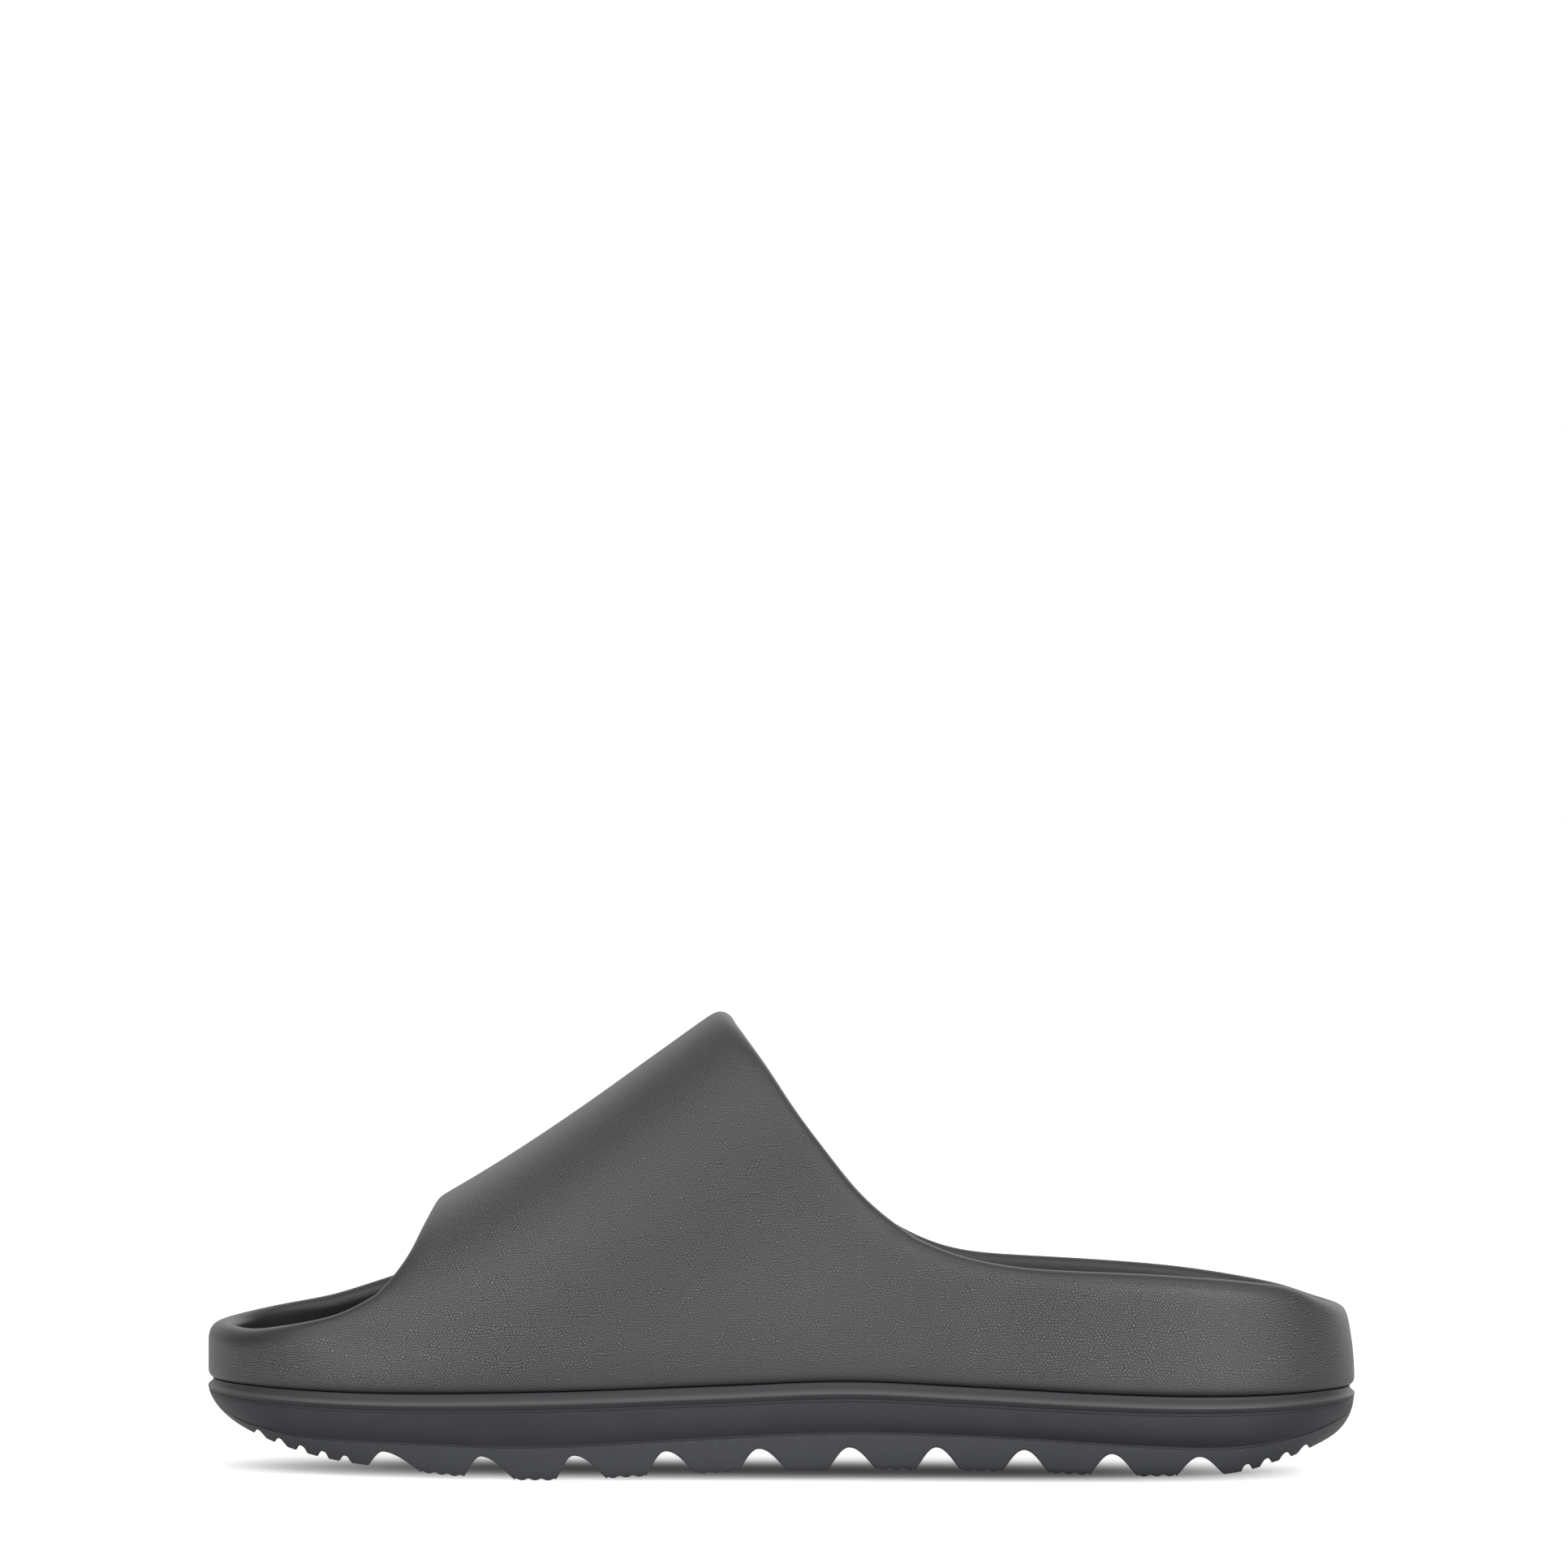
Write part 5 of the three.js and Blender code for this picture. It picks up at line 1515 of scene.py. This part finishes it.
@dataclass
class Tread(Piece):
    """The tread layer: wave-shaped valleys straight across, and teeth at toe, heel and on the lugs.

    Attributes:
        step: Distance between stations along the shoe.
        tip_turn: The turn over which the stations at a tip are even in angle instead.
        tip_stations: How many those are.
        wall_rows: Rings of the side wall.
        lug_pitch: The distance that the valleys' reaches refer to.
        lug_depth: The depth that the valleys' shares refer to.
        valley_round: The power of a valley's cosine.
        tooth_depth: Height of the half circle that makes a notch at toe or heel.
        tooth_width: Its width.
        tooth_lip: How much is cut off its height at the mouth.
        toe_teeth: The first notch's share of the length, how many there are, and their pitch.
        heel_teeth: The same at the heel.
        small_pitch: Pitch of the small teeth on the lugs.
        small_depth: Their depth.
        small_power: The power of their cosine.
        smooth_tips: Share of the length at either tip without relief.
        levels: How many heights are tried where the wall meets the underside.
        least_wall: The wall's least height.
        round_top: How far above its foot the wall starts to turn in.
        round_foot: How far above its foot the last ring lies.
        round_in: How far that ring stands in.
        edge_steps: The underside's first columns, as millimetres from its edge.
        edge_share: The most of the width that each may take.
        edge_lift: How far the first and the last column are lifted.
        across: Steps between those columns.
        sharp_angle: The angle above which an edge is sharp.
    """

    step: float = 0.36
    tip_turn: float = math.radians(15)
    tip_stations: int = 22
    wall_rows: int = 10
    lug_pitch: float = 23.0
    lug_depth: float = 5.6
    valley_round: float = 1.15
    tooth_depth: float = 2.0
    tooth_width: float = 2.9
    tooth_lip: float = 0.3
    toe_teeth: tuple[float, int, float] = (0.0503, 5, 5.85)
    heel_teeth: tuple[float, int, float] = (0.9, 4, 5.2)
    small_pitch: float = 3.3
    small_depth: float = 0.5
    small_power: float = 1.5
    smooth_tips: float = 0.02
    levels: int = 60
    least_wall: float = 0.4
    round_top: float = 0.3
    round_foot: float = 0.08
    round_in: float = 0.1
    edge_steps: tuple[float, ...] = (0.12, 0.45, 1.4)
    edge_share: float = 0.3
    edge_lift: float = 0.05
    across: int = 12
    sharp_angle: float = math.radians(38)

    def relief(self, x: Array) -> Array:
        """How far the tread's underside stands above the lugs' ends.

        A valley is its depth times a cosine to a power, a tooth's notch is a half circle, and the small teeth
        are a row of cosine hollows on a lug.

        Args:
            x: Places along the shoe.

        Returns:
            Heights above the lugs' ends.
        """
        last = self.last
        at = last.at_of(x)
        rise = np.zeros_like(x)
        places = last.x_of(VALLEYS["at"])
        for place, front, back, depth in zip(places, VALLEYS["front"], VALLEYS["back"], VALLEYS["depth"]):
            reach = np.where(x < place, front, back) * self.lug_pitch
            wave = np.cos(np.clip((x - place) / reach, -1, 1) * math.pi / 2)
            rise = np.maximum(rise, self.lug_depth * depth * np.maximum(0, wave) ** self.valley_round)
        for start, count, pitch in (self.toe_teeth, self.heel_teeth):
            for notch in last.x_of(start) + np.arange(count) * pitch:
                circle = np.maximum(0, 1 - ((x - notch) / (self.tooth_width / 2)) ** 2)
                notch_rise = self.tooth_depth * np.sqrt(circle) - self.tooth_lip * (circle > 0)
                rise = np.maximum(rise, notch_rise)
        lows = places + VALLEYS["back"] * self.lug_pitch
        highs = np.append(places[1:] - VALLEYS["front"][1:] * self.lug_pitch, last.x_of(self.heel_teeth[0]))
        for low, high, teeth in zip(lows, highs, VALLEYS["teeth"]):
            if teeth:
                hollow = 0.5 - 0.5 * np.cos(2 * math.pi * (x - low) / self.small_pitch - math.pi)
                on_lug = (x > low) & (x < high)
                small = self.small_depth * np.abs(hollow) ** self.small_power
                rise = np.where(on_lug, np.maximum(rise, small), rise)
        return np.where((at > self.smooth_tips) & (at < 1 - self.smooth_tips), rise, 0)

    def underside(self, x: Array) -> Array:
        """Returns the height of the tread's underside."""
        return self.last.tread(self.last.at_of(x)) + self.relief(x)

    def build(self) -> bpy.types.Object:
        """Returns the layer: its side wall, stopped where it meets the underside, and the underside's grid."""
        last = self.last
        tip = np.linspace(0, self.tip_turn, self.tip_stations)
        reach = last.length / 2 * math.cos(self.tip_turn)
        places = np.linspace(-reach, reach, round(2 * reach / self.step) + 1)[1:-1]
        half = np.concatenate([tip, np.arccos(-places * 2 / last.length), math.pi - tip[::-1]])
        turn = ring_turns(half)
        line = last.outline(turn)
        crease, bottom, parting = last.crease(line), last.lug_line(line), last.parting(line)
        step_in = last.band_inset + last.tread_step * (1 - line.out_x**2)

        def wall(height: Array) -> Array:
            """Returns the layer's side line at a height."""
            down = (crease - height) / (crease - bottom)
            return line.inset(step_in + last.drawn(line, down), height)

        top = blend(crease, bottom, parting) - last.seam / 2
        levels = np.linspace(0, 1, self.levels)
        trials = np.array([blend(top, bottom, level) for level in levels])
        clear = np.array([height - self.underside(wall(height)[:, 0]) for height in trials])
        met = np.argmax(clear <= 0, axis=0)
        met = np.where((clear <= 0).any(axis=0), met, len(levels) - 1)
        column = np.arange(len(turn))
        before = np.maximum(met - 1, 0)
        gap_before, gap_after = clear[before, column], np.minimum(clear[met, column], 0)
        share = gap_before / np.maximum(gap_before - gap_after, TINY)
        edge = blend(trials[before, column], trials[met, column], np.clip(share, 0, 1))
        edge = np.minimum(edge, top - self.least_wall)
        rows = np.linspace(0, 1, self.wall_rows)
        rings = [wall(blend(top, edge + self.round_top, row)) for row in rows]
        rings = np.array([*rings, wall(edge + self.round_foot)])
        rings[-1, :, 0] -= line.out_x * self.round_in
        rings[-1, :, 1] -= line.out_y * self.round_in
        points, quads = ring_body(rings)
        quads = quads[: -(len(turn) // 2)]
        grid_points, grid = self.underside_grid(rings[-1], len(points) - len(turn))
        points = np.concatenate([points, grid_points])
        quads = np.concatenate([quads, grid_quads(grid)[:, ::-1]])
        seam = np.zeros(len(points))
        seam[: 2 * len(turn)] = 1.0
        obj = make_piece(self.name, points, quads, {"seam": seam})
        obj.data.set_sharp_from_angle(angle=self.sharp_angle)
        return obj

    def underside_grid(self, ring: Array, first: int) -> tuple[Array, Array]:
        """The underside between the two long sides of the wall's last ring.

        Args:
            ring: That ring's points.
            first: The number of its first point.

        Returns:
            The new points, and the grid of point numbers from the outer side to the inner one.
        """
        stations = len(ring)
        half = np.arange(stations // 2 + 1)
        outer, inner = ring[half], ring[-half % stations]
        width = np.linalg.norm(inner - outer, axis=1)[:, None]
        edge = np.minimum(np.array(self.edge_steps) / np.maximum(width, TINY), self.edge_share)
        middle = blend(edge[:, -1:], 1 - edge[:, -1:], np.arange(1, self.across) / self.across)
        share = np.concatenate([edge, middle, 1 - edge[:, ::-1]], axis=1)[..., None]
        grid = blend(outer[:, None], inner[:, None], share)
        grid[..., 2] = self.underside(grid[..., 0])
        grid[:, [0, -1], 2] += self.edge_lift
        index = stations_grid(half, grid.shape[1], first, stations)
        return grid[1:-1].reshape(-1, 3), index


def stations_grid(half: Array, columns: int, first: int, stations: int) -> Array:
    """Numbers the points of a grid that lies across a ring.

    Args:
        half: The ring's stations of one side, tip to tip.
        columns: How many new points lie across at each station between the tips.
        first: The number of the ring's first point.
        stations: How many points the ring has.

    Returns:
        Point numbers, as (stations of one side, columns + 2). At the tips all are the tip's.
    """
    start = first + stations
    body = start + np.arange((len(half) - 2) * columns).reshape(-1, columns)
    outer, inner = first + half, first + (-half % stations)
    middle = np.concatenate([
        np.full((1, columns), outer[0]), body, np.full((1, columns), outer[-1]),
    ])
    return np.concatenate([outer[:, None], middle, inner[:, None]], axis=1)


@dataclass(frozen=True)
class Glow:
    """A soft patch of light on the walls of the room.

    Its brightness is strength times exp(k (cos a - 1)), with a the angle from its middle and k = 2 / spread^2.

    Attributes:
        azimuth: Degrees from the camera's side towards the heel.
        elevation: Degrees above level.
        spread: Degrees over which it fades.
        strength: Its brightness in the middle.
    """

    azimuth: float
    elevation: float
    spread: float
    strength: float

    def shine(self, sheet: Sheet, way: Wire) -> Wire:
        """Returns its brightness in the direction of a wire."""
        azimuth, elevation = math.radians(self.azimuth), math.radians(self.elevation)
        level = math.cos(elevation)
        middle = (level * math.sin(azimuth), -level * math.cos(azimuth), math.sin(elevation))
        near = sheet.node("ShaderNodeVectorMath", {"operation": "DOT_PRODUCT"}, {0: way, 1: middle}, "Value")
        return ((near - 1) * (2 / math.radians(self.spread) ** 2)).math("EXPONENT") * self.strength


@dataclass(frozen=True)
class Floor:
    """The white floor, with a painted soft shadow that the shoe stands on.

    The painted shadow is a stripe whose depth is a bell across the shoe and fades along it, and a fainter one
    beyond the inner side. The floor's brightness is exp(-depth): its colour and glow are multiplied by it.

    Attributes:
        reach: Half the floor's size in metres.
        glow: The brightness that it gives off by itself, onto the shoe.
        seen_glow: The same, as the camera sees it, so that the floor is white.
        colour: The share of light that it throws back.
        depth: The shadow's depth in the middle.
        middle: Its place across the shoe.
        slant: How far it turns from the shoe's length, as a slope.
        width: Over what distance it fades across.
        toe: Where it begins and is full at the toe.
        heel: Where it starts to fade and ends at the heel.
        far_depth: The depth of the fainter stripe beyond the inner side.
        far_middle: Its place across the shoe.
        far_width: Over what distance it fades across.
        far_ends: Where it starts to fade and ends, both ways along.
    """

    reach: float = 30.0
    glow: float = 0.3
    seen_glow: float = 1.02
    colour: float = 0.4
    depth: float = 2.9
    middle: float = -0.022
    slant: float = -0.08
    width: float = 0.0215
    toe: tuple[float, float] = (-0.165, -0.055)
    heel: tuple[float, float] = (0.055, 0.155)
    far_depth: float = 0.9
    far_middle: float = 0.066
    far_width: float = 0.012
    far_ends: tuple[float, float] = (0.04, 0.12)

    def build(self) -> bpy.types.Object:
        """Lays the floor."""
        mesh = bpy.data.meshes.new("floor")
        corners = [(-1, -1), (1, -1), (1, 1), (-1, 1)]
        mesh.from_pydata([(self.reach * x, self.reach * y, 0) for x, y in corners], [], [(0, 1, 2, 3)])
        floor = bpy.data.objects.new("floor", mesh)
        bpy.context.scene.collection.objects.link(floor)
        sheet = Skin("floor white with painted shadow")
        along, across = (sheet.part(sheet.coordinates(), axis) for axis in "XY")
        near = (across - self.middle - along * self.slant) / self.width
        lengthwise = along.between(*self.toe) * (1 - along.between(*self.heel))
        far = (across - self.far_middle) / self.far_width
        far_lengthwise = 1 - along.math("ABSOLUTE").between(*self.far_ends)
        # Painted shadow: these bells darken the floor's colour and glow.
        shade = (near * near * -1.0).math("EXPONENT") * lengthwise * self.depth
        shade = shade + (far * far * -1.0).math("EXPONENT") * far_lengthwise * self.far_depth
        light = (shade * -1.0).math("EXPONENT")
        black, colour, glow, seen_glow = (
            (level, level, level, 1.0) for level in (0.0, self.colour, self.glow, self.seen_glow)
        )
        sheet.set(sheet.shader.inputs["Base Color"], sheet.mix(black, colour, light))
        seen = sheet.node("ShaderNodeLightPath", output="Is Camera Ray")
        given = sheet.mix(glow, seen_glow, seen)
        sheet.set(sheet.shader.inputs["Emission Color"], sheet.mix(black, given, light))
        sheet.shader.inputs["Roughness"].default_value = 1.0
        sheet.shader.inputs["Specular IOR Level"].default_value = 0.0
        sheet.shader.inputs["Emission Strength"].default_value = 1.0
        mesh.materials.append(sheet.material)
        floor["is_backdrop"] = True
        return floor


@dataclass(frozen=True)
class Studio:
    """The white room, its light and the camera.

    The camera looks level along +Y at the shoe's outer side, from the distance and height that the photo's
    perspective gives. The room's walls glow in soft patches, and the background is white.

    Attributes:
        image_width: The picture's width in pixels.
        pixels_per_slope: How many pixels a slope of 1 from the camera's axis spans.
        camera_place: The camera's place in metres.
        sensor: The sensor's width in millimetres.
        view_reach: How far the camera sees, in metres.
        dim: The walls' brightness between the patches.
        glows: The patches.
    """

    image_width: int = 1932
    pixels_per_slope: float = 9428.0
    camera_place: tuple[float, float, float] = (0.001, -2.0, 0.1773)
    sensor: float = 36.0
    view_reach: float = 100.0
    dim: float = 0.01
    glows: tuple[Glow, ...] = (
        Glow(-30, 8, 16, 1.0), Glow(-50, 8, 16, 3.0), Glow(30, 8, 16, 5.0), Glow(50, 8, 16, 3.0),
        Glow(0, 48, 22, 1.5), Glow(-60, 48, 24, 2.0), Glow(60, 48, 24, 1.0), Glow(70, 70, 24, 1.0),
        Glow(-140, 10, 22, 0.5), Glow(140, 10, 22, 1.5), Glow(180, 30, 30, 1.0), Glow(0, -8, 20, 1.5),
    )

    def build(self) -> None:
        """Makes the camera, the room's light and the floor."""
        scene = bpy.context.scene
        scene.view_settings.view_transform = "Standard"
        data = bpy.data.cameras.new("camera")
        data.sensor_width = self.sensor
        data.lens = self.pixels_per_slope / self.image_width * self.sensor
        data.clip_end = self.view_reach
        camera = bpy.data.objects.new("camera", data)
        scene.collection.objects.link(camera)
        camera.location = self.camera_place
        camera.rotation_euler = (math.pi / 2, 0, 0)
        scene.camera = camera
        scene.world = self.room()
        Floor().build()

    def room(self) -> bpy.types.World:
        """Returns the world: white to the camera, and soft patches of light for everything else."""
        world = bpy.data.worlds.new("white room")
        world.use_nodes = True
        sheet = Sheet(world.node_tree)
        output = sheet.tree.nodes.new("ShaderNodeOutputWorld")
        way = sheet.node("ShaderNodeTexCoord", output="Generated")
        light = sum(glow.shine(sheet, way) for glow in self.glows) + self.dim
        seen = sheet.node("ShaderNodeLightPath", output="Is Camera Ray")
        strength = light * (1 - seen) + seen
        back = sheet.node("ShaderNodeBackground", None, {"Color": (1.0, 1.0, 1.0, 1.0), "Strength": strength})
        sheet.set(output.inputs["Surface"], back)
        return world


def main() -> None:
    """Loads the frame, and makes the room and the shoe."""
    logging.basicConfig(level=logging.INFO, format="%(name)s: %(message)s")
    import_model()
    solid_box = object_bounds()
    last = Last.from_box(*solid_box)
    Studio().build()
    # The grained foams' pale colours are painted highlight on the pebbles' tops.
    upper_foam = GrainedFoam("upper foam", colour=(0.02, 0.0203, 0.0225), pale=(0.15, 0.15, 0.158))
    bed_foam = GrainedFoam(
        "footbed foam", colour=(0.022, 0.0225, 0.0245), pale=(0.08, 0.081, 0.086), grain_size=0.0009,
    )
    side_foam = HatchedFoam(
        "midsole foam", colour=(0.018, 0.0185, 0.0225), pale=(0.04, 0.041, 0.047), specular=0.35,
        grain_depth=0.00006,
    )
    tread_foam = PlainFoam(
        "outsole foam", colour=(0.03, 0.0315, 0.036), pale=(0.05, 0.052, 0.058), specular=0.4,
    )
    Upper(last, upper_foam, "upper", "upper_foam", "upper_shell").place()
    Footbed(last, bed_foam, "insole", "footbed_foam", "footbed").place()
    Midsole(last, side_foam, "midsole", "midsole_foam", "midsole_block").place()
    Tread(last, tread_foam, "outsole", "outsole_foam", "tread_layer").place()


if __name__ == "__main__":
    main()
